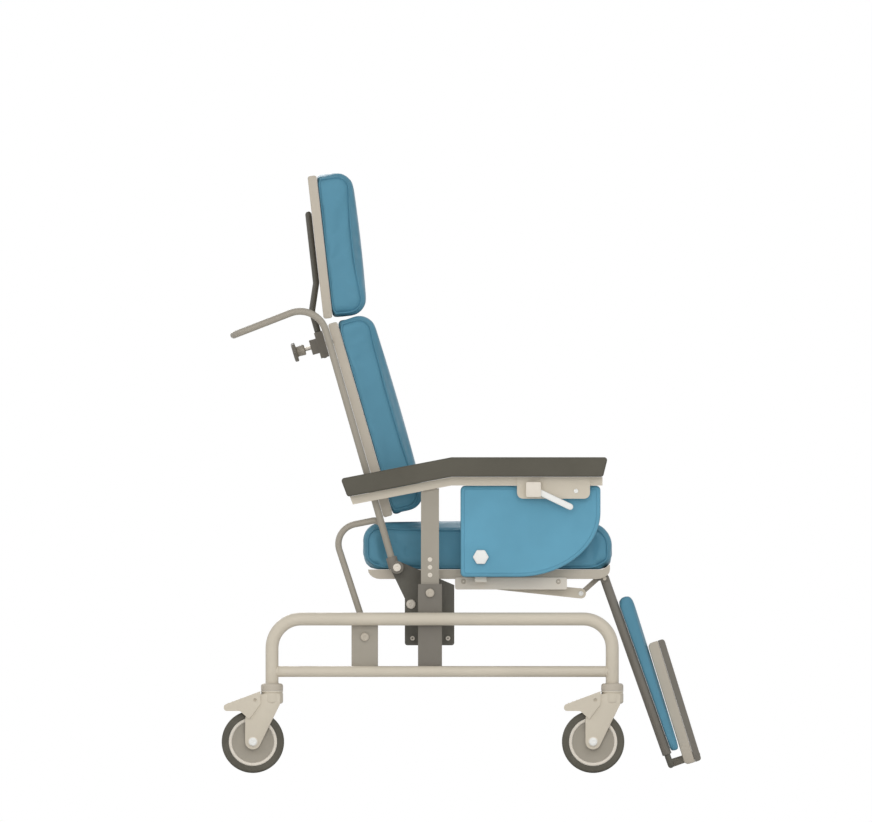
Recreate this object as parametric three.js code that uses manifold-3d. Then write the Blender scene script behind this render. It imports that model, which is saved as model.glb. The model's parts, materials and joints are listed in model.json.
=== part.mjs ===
// A tilt in space wheelchair: a caster base, a seat that tilts whole, a reclining back with its
// headrest, arms that rise, and a leg rest with a folding foot board. Millimetres, +Z up, +X forward,
// +Y to the sitter's left. The origin is on the floor, below the middle of the chair's outline.
import * as THREE from "three";
import { mergeVertices } from "three/addons/utils/BufferGeometryUtils.js";
import Module from "manifold-3d";

const wasm = await Module();
wasm.setup();

// General sizes
const fit = 0.3; // gap between pieces that touch
const play = 0.45; // gap round a pin in its hole
const overrun = 5; // how far a cutter passes the face that it opens
const weld = 0.0005; // distance under which two vertices are one
const degree = Math.PI / 180;
const rightAngle = Math.PI / 2;
const arcSteps = 5;
const roundSides = 12;
const bendStep = 18 * degree;
const datumX = 9.5; // the point that sizes along the chair are taken from, in front of the origin

// Base frame
const rearStemBehind = 192; // the rear casters' stems behind the seat tray
const frontStemAhead = 4.5; // the front ones in front of it
const railRadius = 13;
const lowerRailRadius = 11;
const topRailZ = 308;
const railSpacing = 105;
const frameBend = 58;
const casterHeight = 164;
const collarHeight = 15;
const collarRadius = 22.2;
const collarEdge = 5;
const crossRadius = 11;
const rearCrossInset = 56; // from the stem beside it
const frontCrossInset = 43;

// Tilt pin and the pillars that carry it
const tiltX = -71.5;
const tiltRise = 52; // above the top rail
const tiltPinRadius = 6;
const boltHeadRadius = 8.6;
const boltHeadHeight = 3.3;
const spacerRadius = 9;
const pillarWidth = 48;
const pillarDepth = 40;
const boxWall = 3;
const pillarAbovePin = 18;
const clevisBelowPin = 22;

// Rear posts and the swivel guides on them
const postSetback = 130.5; // behind the tilt pin
const postWidth = 53;
const postDepth = 55;
const postBelowRail = 8; // the post's top under the top rail's centre
const guideDrop = 36; // below the top rail
const guideWall = 3;
const guideBacking = 1.3; // between the guide's wall and the post
const guideHalfHeight = 18;
const guidePlay = 0.6;
const tiltTravel = 30 * degree;
const tiltSamples = 12;

// Casters, measured from the stem's axis
const trail = 38.2;
const wheelRadius = 62.5;
const wheelHalf = 13;
const wheelSides = 20;
const axleRadius = 6;
const hubRadius = 11;
const discRadius = 42;
const rimRadius = 48;
const discRecess = 4;
const treadShoulder = 5;
const cheekGap = 3; // between tyre side and fork cheek
const cheekThickness = 4;
const bossRadius = 15.5;
const forkHeadHeight = 25.5;
const forkNeckX = 16.5;
const axleCapRadius = 8;
const axleCapHeight = 2.5;
const stemRadius = 5.5;
const stemLength = 34;
const pedalPinX = -34;
const pedalPinDrop = 18; // below the top of the fork
const pedalPinRadius = 3;
const pedalSkin = 3;
const pedalReach = 96.5;
const pedalTipDrop = 27.7;
const pedalTipHeight = 12;
const pedalTipRadius = 6.5;
const pedalHeelX = 64;
const pedalToeRise = 45; // the pedal's lower corner above the axle

// Seat tray and cushion
const seatHalf = 222;
const trayRearReach = 124; // behind the tilt pin
const trayLength = 484;
const trayRise = 28; // above the tilt pin
const trayThickness = 19;
const trayRearCurve = 24;
const trayFrontCurve = 26;
const trayLip = 9;
const traySkin = 5;
const trayWall = 9;
const trayFrontWall = 26;
const cushionRearOverhang = 10;
const cushionFrontOverhang = 4;
const cushionRise = 97; // its crown above the tray
const cushionRearTopRadius = 36;
const cushionRearBottomRadius = 30;
const cushionFrontTopRadius = 60;
const cushionFrontBottomRadius = 26;
const cushionSideRadius = 22;
const cushionCrown = 3;
const cushionPull = 5;
const cushionStations = 11;

// Side plates, their bolts, and the channel between them
const plateThickness = 6;
const plateLength = 99; // along X, straight part
const plateAhead = 48.6; // in front of the tilt pin
const plateDrop = 104.6; // below it
const plateFrontTopDrop = 12;
const plateShoulderAhead = 18;
const plateShoulderRise = 1; // above the tray's bottom
const lobeRadius = 13;
const adjustBoltSetback = 38; // behind the tilt pin
const adjustBoltDrop = 22.4;
const adjustBoltRadius = 9.6;
const smallBoltRadius = 4.8;
const smallBoltInset = 14; // from the plate's lower corners
const smallBoltHeight = 2.4;
const plateCorner = 5;
const channelHeight = 20;
const channelWall = 4;
const springArm = 60; // from the tilt pin to the gas spring's pin
const springArmAngle = 25 * degree;
const springPinRadius = 5;
const springEyeRadius = 11;
const springEyePlay = 1.6;
const springEyeHalf = 8;
const springLugThickness = 4;
const springEyeDrop = 1.1; // the front eye's centre under its pin at rest, to share out the play
const springReach = 26; // from the rear cross tube to the rear eye
const springRodRadius = 5;
const springBodyRadius = 11;
const springBodyLength = 128;
const springCapLength = 14;
const springRodStart = 50;

// Seat rails
const seatRailGap = 1.4; // in front of the side plate
const seatRailLength = 224;
const seatRailDrop = 21; // below the tray's bottom
const seatRailHeight = 24;
const seatRailCorner = 4;
const railLedge = 22;
const railLedgeThickness = 6;
const rivetRadius = 4.4;
const rivetInset = 17;
const rivetHeight = 1.6;
const tabWidth = 24;
const tabThickness = 3;
const tabRise = 44; // above the knob's centre
const armTravel = 30;

// Hoops
const hoopRadius = 6.5;
const hoopStandoff = 3.2;
const hoopReach = 129.2; // behind the recline pin
const hoopRise = 77.6;
const hoopRearBend = 40;
const hoopFrontBend = 18;
const hoopSlope = 11.3 * degree;
const hoopLean = 18.1 * degree;
const hoopBelowGuide = 26;

// Back, measured from the recline pin along the back's lean
const reclineSetback = 66; // behind the tilt pin
const reclineRise = 51;
const reclinePinRadius = 6;
const backLean = 16.1 * degree;
const backTubeRadius = 7;
const backTubeSetback = 5.4;
const backStandoff = 4.5;
const backTubeHeight = 553.2;
const handleBend = 54;
const handleLength = 180;
const handleDroop = 5.1 * degree;
const handleCornerBend = 32;
const sleeveRadius = 11;
const sleeveHeight = 23.4;
const upperCrossDrop = 83.2; // below the handles' bend
const lowerCrossRise = 67; // above the board's lower edge
const boardInset = 6; // from the seat's side
const boardThickness = 19.2;
const boardCorner = 4;
const backBottomZ = 103;
const backTopDrop = 47.2; // the board's top below the handles' bend
const padThickness = 73;
const padFrontRadius = 33;
const padRearRadius = 8;

// Headrest clamp and knob, on the upper cross tube
const barRadius = 6.4;
const barSetback = 21.4;
const clampWidth = 44;
const clampBaseThickness = 17;
const clampBaseHeight = 53;
const clampNoseHeight = 30;
const clampNoseWidth = 36;
const clampNoseReach = 14;
const knobShaftRadius = 4;
const knobGap = 12;
const knobHubRadius = 11;
const knobHubLength = 17;
const knobDiscRadius = 19.5;
const knobDiscThickness = 8;

// Headrest
const headRearX = -3.2;
const headGap = 12.5; // above the back board
const headTurn = 9.65 * degree;
const headHeight = 287;
const headrestInset = 42; // from the seat's side
const headBoardThickness = 18;
const barTopZ = 217;
const barKneeZ = 73;
const barWaistRise = 69.4; // above the upper cross tube
const barBend = 14;
const barBelowCross = 28;

// Arms
const uprightWidth = 36;
const uprightDepth = 25;
const uprightTopPlay = 0.6;
const uprightHoleRadius = 4.6;
const uprightHolePitch = 15.5;
const uprightHoleRise = 4.4; // the middle hole above the tray
const blockHalfX = 13;
const blockHeight = 18;
const armFrontSetback = 4; // behind the tray's front
const armBendAhead = 43; // in front of the tilt pin
const armRise = 224.6; // above the tray
const armSlope = 10.9 * degree;
const armRearLength = 226;
const armPadThickness = 39.3;
const armPadInset = 3.3; // outside the pillar's inner face
const armPadWidth = 66;
const armPadFrontRake = 9.8;
const armPadRearRake = 14;
const armPadEdge = 4;
const armPadCorner = 8;
const armPlateThickness = 17;
const armPlateInset = 8; // from the pad's inner edge
const armPlateWidth = 30;
const armPlateSetback = 11;
const armPlateRearInset = 12;
const innerPostPlay = 0.5;
const innerPostLength = 118;
const bracketSetback = 182; // behind the pad's front
const bracketLength = 146;
const bracketDrop = 26.4;
const bracketThickness = 4;
const bracketCorner = 12;
const bracketScrewAhead = 118;
const bracketScrewDrop = 11;
const bracketScrewRadius = 4.8;
const leverAhead = 32; // in front of the bracket's rear edge
const leverDrop = 7; // below the arm plate
const leverBlockLength = 30;
const leverBlockHeight = 30;
const leverBlockDepth = 16;
const leverBlockWall = 4;
const leverBlockRise = 14;
const leverPinRadius = 3;
const leverRadius = 6.3;
const leverThickness = 7.4;
const leverLength = 88.7;
const leverDroop = 25.6 * degree;

// Side panels and their knobs
const panelSetback = 18; // in front of the arm's bend
const panelLength = 280;
const panelHeight = 182.7;
const panelThickness = 24;
const panelInset = 1.3; // outside the pillar's inner face
const panelCurveX = 166;
const panelCurveZ = 130;
const panelCorner = 9;
const panelEdge = 3;
const knobAhead = 40.6; // in front of the panel's rear edge
const knobRise = 25; // above the tray
const knobFlats = 28;
const knobHeight = 11.7;
const knobBoltRadius = 4;
const knobNutRadius = 8;
const knobNutHeight = 4;

// Leg rest, measured from its hinge down the leg
const legSetback = 10.8; // behind the tray's front
const legRise = 1; // above the tray's bottom
const legLean = 19.55 * degree;
const legInset = 22; // from the seat's side
const legTubeRadius = 9.4;
const legBoreRadius = 6.4;
const legBoreLength = 180;
const legTubeLength = 374;
const legPinRadius = 4;
const legNotchPlay = 1.2;
const legNotchLength = 28;
const legBarRadius = 7;
const legBarShares = [0.22, 0.86];
const crankSetback = 10.5; // behind the leg's hinge
const crankRise = 3;
const crankPinRadius = 3;
const crankEyePlay = 1.6;
const crankEyeWall = 3;
const linkThickness = 6;
const linkSetback = 283.2; // behind the leg's hinge
const linkDrop = 6; // below the tray's bottom
const linkPinRadius = 4;
const linkEndSetback = 47.2; // behind the leg's hinge
const linkEndDrop = 29.8;
const linkEndRadius = 10.2;
const linkRootRadius = 8;
const linkLugThickness = 5;
const rodHalfWidth = 5;
const tieRadius = 6;
const tieShare = 0.62;
const rodTieShare = 0.34;
const rodTieRadius = 3.5;

// Calf pad, foot slide and foot board, in the same frame
const calfTopZ = -47;
const calfEndInset = 2.5; // above the leg tube's end
const calfInset = 10; // from the seat's side
const calfSideRadius = 6;
const calfTopRadius = 14;
const calfFitting = 1;
const calfPull = 2;
const footTubeRadius = 6.1;
const footTubeStub = 28; // what shows below the leg tube
const footTubeOverlap = 144; // what stays inside it
const footBarDrop = 18.7; // below the leg tube's end
const footBracketHalf = 9;
const footBracketInset = 66; // from the board's side
const footBracketHeight = 16.6;
const footBoardTurn = 2.34 * degree;
const footBoardX = 26.6;
const footBoardDrop = 31.5; // below the leg tube's end
const footBoardLength = 254;
const footBoardThickness = 21.4;
const footBackingThickness = 13.2;
const footBoardInset = 36; // from the seat's side
const footBoardCorner = 9;
const footBackingCorner = 6;
const footPinX = 28.2;
const footPinZ = 13;
const footPinRadius = 3;
const footKnuckleRadius = 7.4;
const footNotchPlay = 1.2;

// Places worked out from the sizes above: heights and stations of the frame and the seat
const lowerRailZ = topRailZ - railSpacing;
const postBottomZ = lowerRailZ - lowerRailRadius;
const tiltZ = topRailZ + tiltRise;
const guideZ = topRailZ - guideDrop;
const postX = tiltX - postSetback;
const trayRearX = tiltX - trayRearReach;
const trayFrontX = trayRearX + trayLength;
const trayBottomZ = tiltZ + trayRise;
const trayTopZ = trayBottomZ + trayThickness;
const cushionRearX = trayRearX - cushionRearOverhang;
const cushionFrontX = trayFrontX + cushionFrontOverhang;
const cushionTopZ = trayTopZ + cushionRise;
const rearStemX = trayRearX - rearStemBehind;
const frontStemX = trayFrontX + frontStemAhead;
const rearCrossX = rearStemX + rearCrossInset;
const frontCrossX = frontStemX - frontCrossInset;
const cheekInner = wheelHalf + cheekGap;
const cheekOuter = cheekInner + cheekThickness;

// Places across the chair, from the seat outwards
const plateInner = seatHalf + fit;
const plateOuter = plateInner + plateThickness;
const hoopY = plateOuter + hoopStandoff + hoopRadius;
const backTubeY = hoopY + hoopRadius + backStandoff + backTubeRadius;
const studEnd = backTubeY + sleeveRadius + fit;
const guideOuter = hoopY + hoopRadius + guidePlay + guideWall + guideBacking;
const postInner = guideOuter + fit;
const pillarOuter = postInner + postDepth;
const pillarInner = pillarOuter - pillarDepth;
const trackHalf = pillarOuter + fit + railRadius;
const uprightY = (pillarOuter + pillarInner) / 2;
const armPadInner = pillarInner + armPadInset;
const armPlateInner = armPadInner + armPlateInset;
const armPlateOuter = armPlateInner + armPlateWidth;
const bracketOuter = armPlateOuter + bracketThickness;
const panelInner = pillarInner + panelInset;
const panelOuter = panelInner + panelThickness;
const boardHalf = seatHalf - boardInset;
const legHalf = seatHalf - legInset;
const linkOuter = legHalf - legTubeRadius - 2 * fit;
const linkInner = linkOuter - linkThickness;
const rodOuter = linkInner - 2 * fit;
const rodInner = rodOuter - linkThickness;
const calfHalf = seatHalf - calfInset;
const footBoardHalf = seatHalf - footBoardInset;
const footBracketY = footBoardHalf - footBracketInset;

// Places on the side plates, rails and hoops
const plateFrontX = tiltX + plateAhead;
const plateBottomZ = tiltZ - plateDrop;
const plateShoulderX = tiltX + plateShoulderAhead;
const plateShoulderZ = trayBottomZ + plateShoulderRise;
const adjustBoltX = tiltX - adjustBoltSetback;
const adjustBoltZ = tiltZ - adjustBoltDrop;
const springPinX = tiltX - springArm * Math.sin(springArmAngle);
const springPinZ = tiltZ - springArm * Math.cos(springArmAngle);
const railRearX = plateFrontX + seatRailGap;
const seatRailBottomZ = trayBottomZ - seatRailDrop;
const seatRailTopZ = seatRailBottomZ + seatRailHeight;
const reclineX = tiltX - reclineSetback;
const reclineZ = tiltZ + reclineRise;
const hoopTopX = reclineX - hoopReach;
const hoopTopZ = reclineZ + hoopRise;

// Places on the back and the headrest
const upperCrossZ = backTubeHeight - upperCrossDrop;
const lowerCrossZ = backBottomZ + lowerCrossRise;
const backTopZ = backTubeHeight - backTopDrop;
const headBottomZ = backTopZ + headGap;
const headrestHalf = seatHalf - headrestInset;
const barBottomZ = upperCrossZ - barBelowCross;
const barWaistZ = upperCrossZ + barWaistRise;

// Places on the arms
const uprightHoleZ = trayTopZ + uprightHoleRise;
const armFrontX = trayFrontX - armFrontSetback;
const armBendX = tiltX + armBendAhead;
const armTopZ = trayTopZ + armRise;
const armPlateTopZ = armTopZ - armPadThickness - fit;
const armPlateBottomZ = armPlateTopZ - armPlateThickness;
const bracketRearX = armFrontX - bracketSetback;
const bracketScrewX = bracketRearX + bracketScrewAhead;
const bracketScrewZ = armPlateBottomZ - bracketScrewDrop;
const leverX = bracketRearX + leverAhead;
const leverZ = armPlateBottomZ - leverDrop;
const panelRearX = armBendX + panelSetback;
const panelTopZ = armPlateBottomZ - fit;
const knobX = panelRearX + knobAhead;
const knobZ = trayTopZ + knobRise;

// Places on the leg rest
const legX = trayFrontX - legSetback;
const legZ = trayBottomZ + legRise;
const crankX = legX - crankSetback;
const crankZ = legZ + crankRise;
const crankEyeRadius = crankPinRadius + crankEyePlay + crankEyeWall;
const legNotchTopZ = crankZ + crankEyeRadius + legNotchPlay / 2;
const linkX = legX - linkSetback;
const linkZ = trayBottomZ - linkDrop;
const linkEndX = legX - linkEndSetback;
const linkEndZ = legZ - linkEndDrop;
const calfBottomZ = calfEndInset - legTubeLength;
const footTubeEnd = legTubeLength + footTubeStub;
const footTubeTop = legTubeLength - footTubeOverlap;
const footBarZ = -legTubeLength - footBarDrop;
const footBoardZ = -legTubeLength - footBoardDrop;

// Colours of the object's materials
function finish(color, roughness, metalness) {
  return new THREE.MeshStandardMaterial({ color, roughness, metalness });
}
const cushionBlue = finish(0x578ca2, 0.7, 0);
const panelBlue = finish(0x639fb8, 0.6, 0);
const boardGrey = finish(0xbab1a2, 0.6, 0);
const frameCream = finish(0xcbc2b1, 0.45, 0.2);
const railCream = finish(0xddd5c8, 0.4, 0.2);
const tubeGrey = finish(0x9d9689, 0.4, 0.4);
const slateGrey = finish(0x746f66, 0.5, 0.3);
const darkGrey = finish(0x5c5950, 0.6, 0.1);
const knobWhite = finish(0xebebe7, 0.5, 0);

// A closed geometry as a solid that can be joined and cut
function solidOf(geometry) {
  const bare = geometry.clone();
  bare.deleteAttribute("normal");
  bare.deleteAttribute("uv");
  const merged = mergeVertices(bare, weld);
  const triVerts = new Uint32Array(merged.index.array);
  return new wasm.Manifold(
    new wasm.Mesh({ numProp: 3, vertProperties: merged.attributes.position.array, triVerts }),
  );
}

// A solid back as a geometry
function geometryOf(solid) {
  const made = solid.getMesh();
  const geometry = new THREE.BufferGeometry();
  geometry.setAttribute("position", new THREE.BufferAttribute(made.vertProperties, 3));
  geometry.setIndex(new THREE.BufferAttribute(made.triVerts, 1));
  const faceted = geometry.toNonIndexed();
  faceted.computeVertexNormals();
  return faceted;
}

function join(...pieces) {
  return geometryOf(pieces.map(solidOf).reduce((whole, piece) => whole.add(piece)));
}

function cut(body, ...tools) {
  return geometryOf(tools.map(solidOf).reduce((left, tool) => left.subtract(tool), solidOf(body)));
}

// Both ends of a stretch across the chair, on the left (side 1) or the right (side -1)
function span(side, inner, outer) {
  return side > 0 ? [inner, outer] : [-outer, -inner];
}

// The same stretch with a cutter's overrun at both ends
function past([low, high]) {
  return [low - overrun, high + overrun];
}

// An arc of an ellipse as points of an outline
function arc(centreX, centreZ, reachX, reachZ, from, to, steps = arcSteps) {
  return Array.from({ length: steps + 1 }, (_, i) => {
    const angle = from + ((to - from) * i) / steps;
    return new THREE.Vector2(centreX + reachX * Math.cos(angle), centreZ + reachZ * Math.sin(angle));
  });
}

function circle(x, z, radius, sides = roundSides) {
  return arc(x, z, radius, radius, 0, 2 * Math.PI * (1 - 1 / sides), sides - 1);
}

// A polygon from corners [x, z, radius], with each corner rounded as far as its edges allow
function rounded(corners, steps = arcSteps) {
  const places = corners.map(([x, z]) => new THREE.Vector2(x, z));
  return corners.flatMap(([, , radius = 0], i) => {
    const corner = places[i];
    if (!radius) return [corner];
    const back = places.at(i - 1).clone().sub(corner);
    const ahead = places[(i + 1) % places.length].clone().sub(corner);
    const longest = Math.min(back.length(), ahead.length()) / 2;
    const half = back.angleTo(ahead) / 2;
    const reach = Math.min(radius / Math.tan(half), longest);
    const start = corner.clone().addScaledVector(back.normalize(), reach);
    const middle = back.clone().add(ahead.normalize()).normalize();
    const centre = corner.clone().addScaledVector(middle, reach / Math.cos(half));
    const turn = Math.sign(ahead.cross(back)) * (Math.PI - 2 * half);
    const spoke = start.sub(centre);
    return Array.from({ length: steps + 1 }, (_, k) =>
      spoke.clone().rotateAround(new THREE.Vector2(), (turn * k) / steps).add(centre),
    );
  });
}

// The point where a line from a corner touches a circle, on its left (1) or right (-1) hand
function tangent(x, z, centreX, centreZ, radius, hand) {
  const apart = Math.hypot(centreX - x, centreZ - z);
  const angle = Math.atan2(z - centreZ, x - centreX) + hand * Math.acos(radius / apart);
  return new THREE.Vector2(centreX + radius * Math.cos(angle), centreZ + radius * Math.sin(angle));
}

// A tapered bar with round ends, as an outline
function bone(x1, z1, radius1, x2, z2, radius2) {
  const along = Math.atan2(z2 - z1, x2 - x1);
  const open = Math.acos((radius1 - radius2) / Math.hypot(x2 - x1, z2 - z1));
  return [
    ...arc(x1, z1, radius1, radius1, along + open, along + 2 * Math.PI - open, 2 * arcSteps),
    ...arc(x2, z2, radius2, radius2, along - open, along + open, 2 * arcSteps),
  ];
}

function moved(outline, x, z) {
  return outline.map((point) => new THREE.Vector2(point.x + x, point.y + z));
}

// An outline in the chair's side view, drawn out across the chair
function slab(outline, yFrom, yTo) {
  const depth = yTo - yFrom;
  const geometry = new THREE.ExtrudeGeometry(new THREE.Shape(outline), { depth, bevelEnabled: false });
  geometry.rotateX(rightAngle);
  geometry.translate(0, yTo, 0);
  return geometry;
}

// The same with its long edges bevelled
function softSlab(outline, yFrom, yTo, edge) {
  const bevel = { bevelThickness: edge, bevelSize: edge, bevelOffset: -edge, bevelSegments: 2 };
  const depth = yTo - yFrom - 2 * edge;
  const geometry = new THREE.ExtrudeGeometry(new THREE.Shape(outline), { depth, ...bevel });
  geometry.rotateX(rightAngle);
  geometry.translate(0, yTo - edge, 0);
  return geometry;
}

function box(xFrom, xTo, yFrom, yTo, zFrom, zTo) {
  const geometry = new THREE.BoxGeometry(xTo - xFrom, yTo - yFrom, zTo - zFrom);
  geometry.translate((xFrom + xTo) / 2, (yFrom + yTo) / 2, (zFrom + zTo) / 2);
  return geometry;
}

// A round bar across the chair, and an upright one
function pin(x, z, radius, yFrom, yTo, sides = roundSides) {
  const geometry = new THREE.CylinderGeometry(radius, radius, yTo - yFrom, sides);
  geometry.translate(x, (yFrom + yTo) / 2, z);
  return geometry;
}

function upright(x, y, radius, zFrom, zTo, sides = roundSides) {
  const geometry = new THREE.CylinderGeometry(radius, radius, zTo - zFrom, sides);
  geometry.rotateX(rightAngle);
  geometry.translate(x, y, (zFrom + zTo) / 2);
  return geometry;
}

// A round bar along X
function lengthwise(xFrom, xTo, y, z, radius, sides = roundSides) {
  const geometry = new THREE.CylinderGeometry(radius, radius, xTo - xFrom, sides);
  geometry.rotateZ(-rightAngle);
  geometry.translate((xFrom + xTo) / 2, y, z);
  return geometry;
}

// A path of straight runs joined by round bends, sampled only where it turns
class BentPath extends THREE.Curve {
  constructor(places, bends) {
    super();
    const last = places.length - 1;
    const heading = (i) => places[i + 1].clone().sub(places[i]).normalize();
    this.stations = [{ point: places[0], along: heading(0) }];
    for (let i = 1; i < last; i++) {
      const before = heading(i - 1);
      const after = heading(i);
      const turn = before.angleTo(after);
      const radius = bends[i - 1];
      const start = places[i].clone().addScaledVector(before, -radius * Math.tan(turn / 2));
      const axis = before.clone().cross(after).normalize();
      const inward = axis.clone().cross(before);
      const centre = start.clone().addScaledVector(inward, radius);
      const steps = Math.max(2, Math.ceil(turn / bendStep));
      for (let k = 0; k <= steps; k++) {
        const angle = (turn * k) / steps;
        const point = inward.clone().multiplyScalar(-radius).applyAxisAngle(axis, angle).add(centre);
        this.stations.push({ point, along: before.clone().applyAxisAngle(axis, angle) });
      }
    }
    this.stations.push({ point: places[last], along: heading(last - 1) });
    this.steps = this.stations.length - 1;
  }
  getPoint(t, target = new THREE.Vector3()) {
    return target.copy(this.stations[Math.round(t * this.steps)].point);
  }
  getPointAt(t, target) {
    return this.getPoint(t, target);
  }
  getTangentAt(t, target = new THREE.Vector3()) {
    return target.copy(this.stations[Math.round(t * this.steps)].along);
  }
}

function tube(places, bends, radius) {
  const path = new BentPath(places, bends);
  const section = new THREE.Shape(circle(0, 0, radius));
  return new THREE.ExtrudeGeometry(section, { steps: path.steps, extrudePath: path });
}

// A padded cushion: its side outline is carried across the chair, rounded off at both sides, crowned
// on the face that is sat against, and drawn in between its corners.
function cushion(outline, half, sideRadius, crown, pull, crownAlongX) {
  const xs = outline.map((point) => point.x);
  const zs = outline.map((point) => point.y);
  const [xLow, xHigh, zLow, zHigh] = [Math.min(...xs), Math.max(...xs), Math.min(...zs), Math.max(...zs)];
  const [xMid, zMid] = [(xLow + xHigh) / 2, (zLow + zHigh) / 2];
  const [xHalf, zHalf] = [(xHigh - xLow) / 2, (zHigh - zLow) / 2];
  const positions = [];
  for (let i = 0; i <= cushionStations; i++) {
    const share = -Math.cos((Math.PI * i) / cushionStations);
    const inset = Math.max(0, Math.abs(share) * half - (half - sideRadius));
    const shrink = sideRadius - Math.sqrt(Math.max(0, sideRadius ** 2 - inset ** 2));
    for (const point of outline) {
      const [dx, dz] = [(point.x - xMid) / xHalf, (point.y - zMid) / zHalf];
      const face = Math.max(0, crownAlongX ? dx : dz);
      const lengthShare = crownAlongX ? dz : dx;
      const fall = Math.cos(lengthShare * rightAngle);
      const bulge = crown * (1 - share ** 2) * face * fall;
      const x = xMid + dx * (xHalf - shrink) + (crownAlongX ? bulge : 0);
      const z = zMid + dz * (zHalf - shrink) + (crownAlongX ? 0 : bulge);
      positions.push(x, share * (half - pull * fall), z);
    }
  }
  const count = outline.length;
  const faces = [];
  for (let i = 0; i < cushionStations; i++) {
    for (let k = 0; k < count; k++) {
      const [a, b] = [i * count + k, i * count + ((k + 1) % count)];
      faces.push(a, b, a + count, b, b + count, a + count);
    }
  }
  for (let k = 1; k < count - 1; k++) {
    const end = cushionStations * count;
    faces.push(0, k + 1, k, end, end + k, end + k + 1);
  }
  const geometry = new THREE.BufferGeometry();
  geometry.setAttribute("position", new THREE.BufferAttribute(new Float32Array(positions), 3));
  geometry.setIndex(faces);
  geometry.computeVertexNormals();
  return geometry;
}

// The outline goes round so that the cushion's faces point outwards
function clockwise(outline) {
  return THREE.ShapeUtils.isClockWise(outline) ? outline : outline.reverse();
}

const whole = new THREE.Group();
const chair = new THREE.Group();
chair.position.x = datumX;
whole.add(chair);

function place(parent, name, geometry, material) {
  const mesh = new THREE.Mesh(geometry, material);
  mesh.name = name;
  parent.add(mesh);
  return mesh;
}

function frameAt(parent, x, z, turn) {
  const group = new THREE.Group();
  group.position.set(x, 0, z);
  group.rotation.y = turn;
  parent.add(group);
  return group;
}

// The side frame's bent tube, from collar to collar
function archTube(side, radius) {
  const y = side * trackHalf;
  const places = [
    new THREE.Vector3(rearStemX, y, casterHeight + fit),
    new THREE.Vector3(rearStemX, y, topRailZ),
    new THREE.Vector3(frontStemX, y, topRailZ),
    new THREE.Vector3(frontStemX, y, casterHeight + fit),
  ];
  return tube(places, [frameBend, frameBend], radius);
}

// Side frame: the bent tube with its lower rail welded across and a collar at both ends
function sideFrame(side) {
  const y = side * trackHalf;
  const arch = archTube(side, railRadius);
  const lower = lengthwise(rearStemX, frontStemX, y, lowerRailZ, lowerRailRadius);
  const collar = new THREE.LatheGeometry(
    [
      new THREE.Vector2(0, 0),
      new THREE.Vector2(collarRadius, 0),
      ...arc(collarRadius - collarEdge, collarHeight - collarEdge, collarEdge, collarEdge, 0, rightAngle, 2),
      new THREE.Vector2(0, collarHeight),
    ],
    roundSides,
  );
  collar.rotateX(rightAngle);
  const collars = [rearStemX, frontStemX].map((x) => collar.clone().translate(x, y, casterHeight + fit));
  const bores = [rearStemX, frontStemX].map((x) =>
    upright(x, y, stemRadius + play, casterHeight - overrun, casterHeight + stemLength + overrun),
  );
  return cut(join(arch, lower, ...collars), ...bores);
}

// Cross tubes: their ends are coped to the tubes that they are welded between
function frontCross() {
  const [rear, front] = [frontCrossX - frameBend, frontCrossX + frameBend];
  const rails = [-trackHalf, trackHalf].map((y) =>
    lengthwise(rear, front, y, lowerRailZ, lowerRailRadius + fit, 2 * roundSides),
  );
  return cut(pin(frontCrossX, lowerRailZ, crossRadius, -trackHalf, trackHalf), ...rails);
}

function rearCross() {
  const reach = springEyeHalf + fit + springLugThickness;
  const eyeX = rearCrossX + springReach;
  const lugRadius = springPinRadius + springLugThickness;
  const outline = bone(rearCrossX, topRailZ, crossRadius, eyeX, topRailZ, lugRadius);
  const lugs = [-1, 1].map((side) => slab(outline, ...span(side, springEyeHalf + fit, reach)));
  const hinge = pin(eyeX, topRailZ, springPinRadius, -reach, reach);
  const arches = [-1, 1].map((side) => archTube(side, railRadius + fit / Math.cos(Math.PI / roundSides)));
  return join(cut(pin(rearCrossX, topRailZ, crossRadius, -trackHalf, trackHalf), ...arches), ...lugs, hinge);
}

// Pillar: a box tube whose front and rear walls are cut away at the top, with the tilt pin across it
function pillar(side) {
  const top = tiltZ + pillarAbovePin;
  const [rear, front] = [tiltX - pillarWidth / 2, tiltX + pillarWidth / 2];
  const inside = span(side, pillarInner + boxWall, pillarOuter - boxWall);
  const shell = box(rear, front, ...span(side, pillarInner, pillarOuter), postBottomZ, top);
  const bore = box(rear + boxWall, front - boxWall, ...inside, ...past([postBottomZ, top]));
  const mouth = box(...past([rear, front]), ...inside, tiltZ - clevisBelowPin, top + overrun);
  const pinEnd = seatHalf - boltHeadHeight;
  return join(
    cut(shell, bore, mouth),
    pin(tiltX, tiltZ, tiltPinRadius, ...span(side, pinEnd, pillarOuter + boltHeadHeight)),
    pin(tiltX, tiltZ, boltHeadRadius, ...span(side, pillarOuter - boxWall, pillarOuter + boltHeadHeight)),
    pin(tiltX, tiltZ, boltHeadRadius, ...span(side, pinEnd, seatHalf)),
    pin(tiltX, tiltZ, spacerRadius, ...span(side, plateOuter + fit, pillarInner + boxWall)),
  );
}

function rearPost(side) {
  const across = span(side, postInner, pillarOuter);
  const inside = span(side, postInner + boxWall, pillarOuter - boxWall);
  const [rear, front] = [postX - postWidth / 2, postX + postWidth / 2];
  const upDown = [postBottomZ, topRailZ - postBelowRail];
  const shell = box(rear, front, ...across, ...upDown);
  const bore = box(rear + boxWall, front - boxWall, ...inside, ...past(upDown));
  return cut(shell, bore, pin(postX, guideZ, tiltPinRadius + play, ...past(across)));
}

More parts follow.
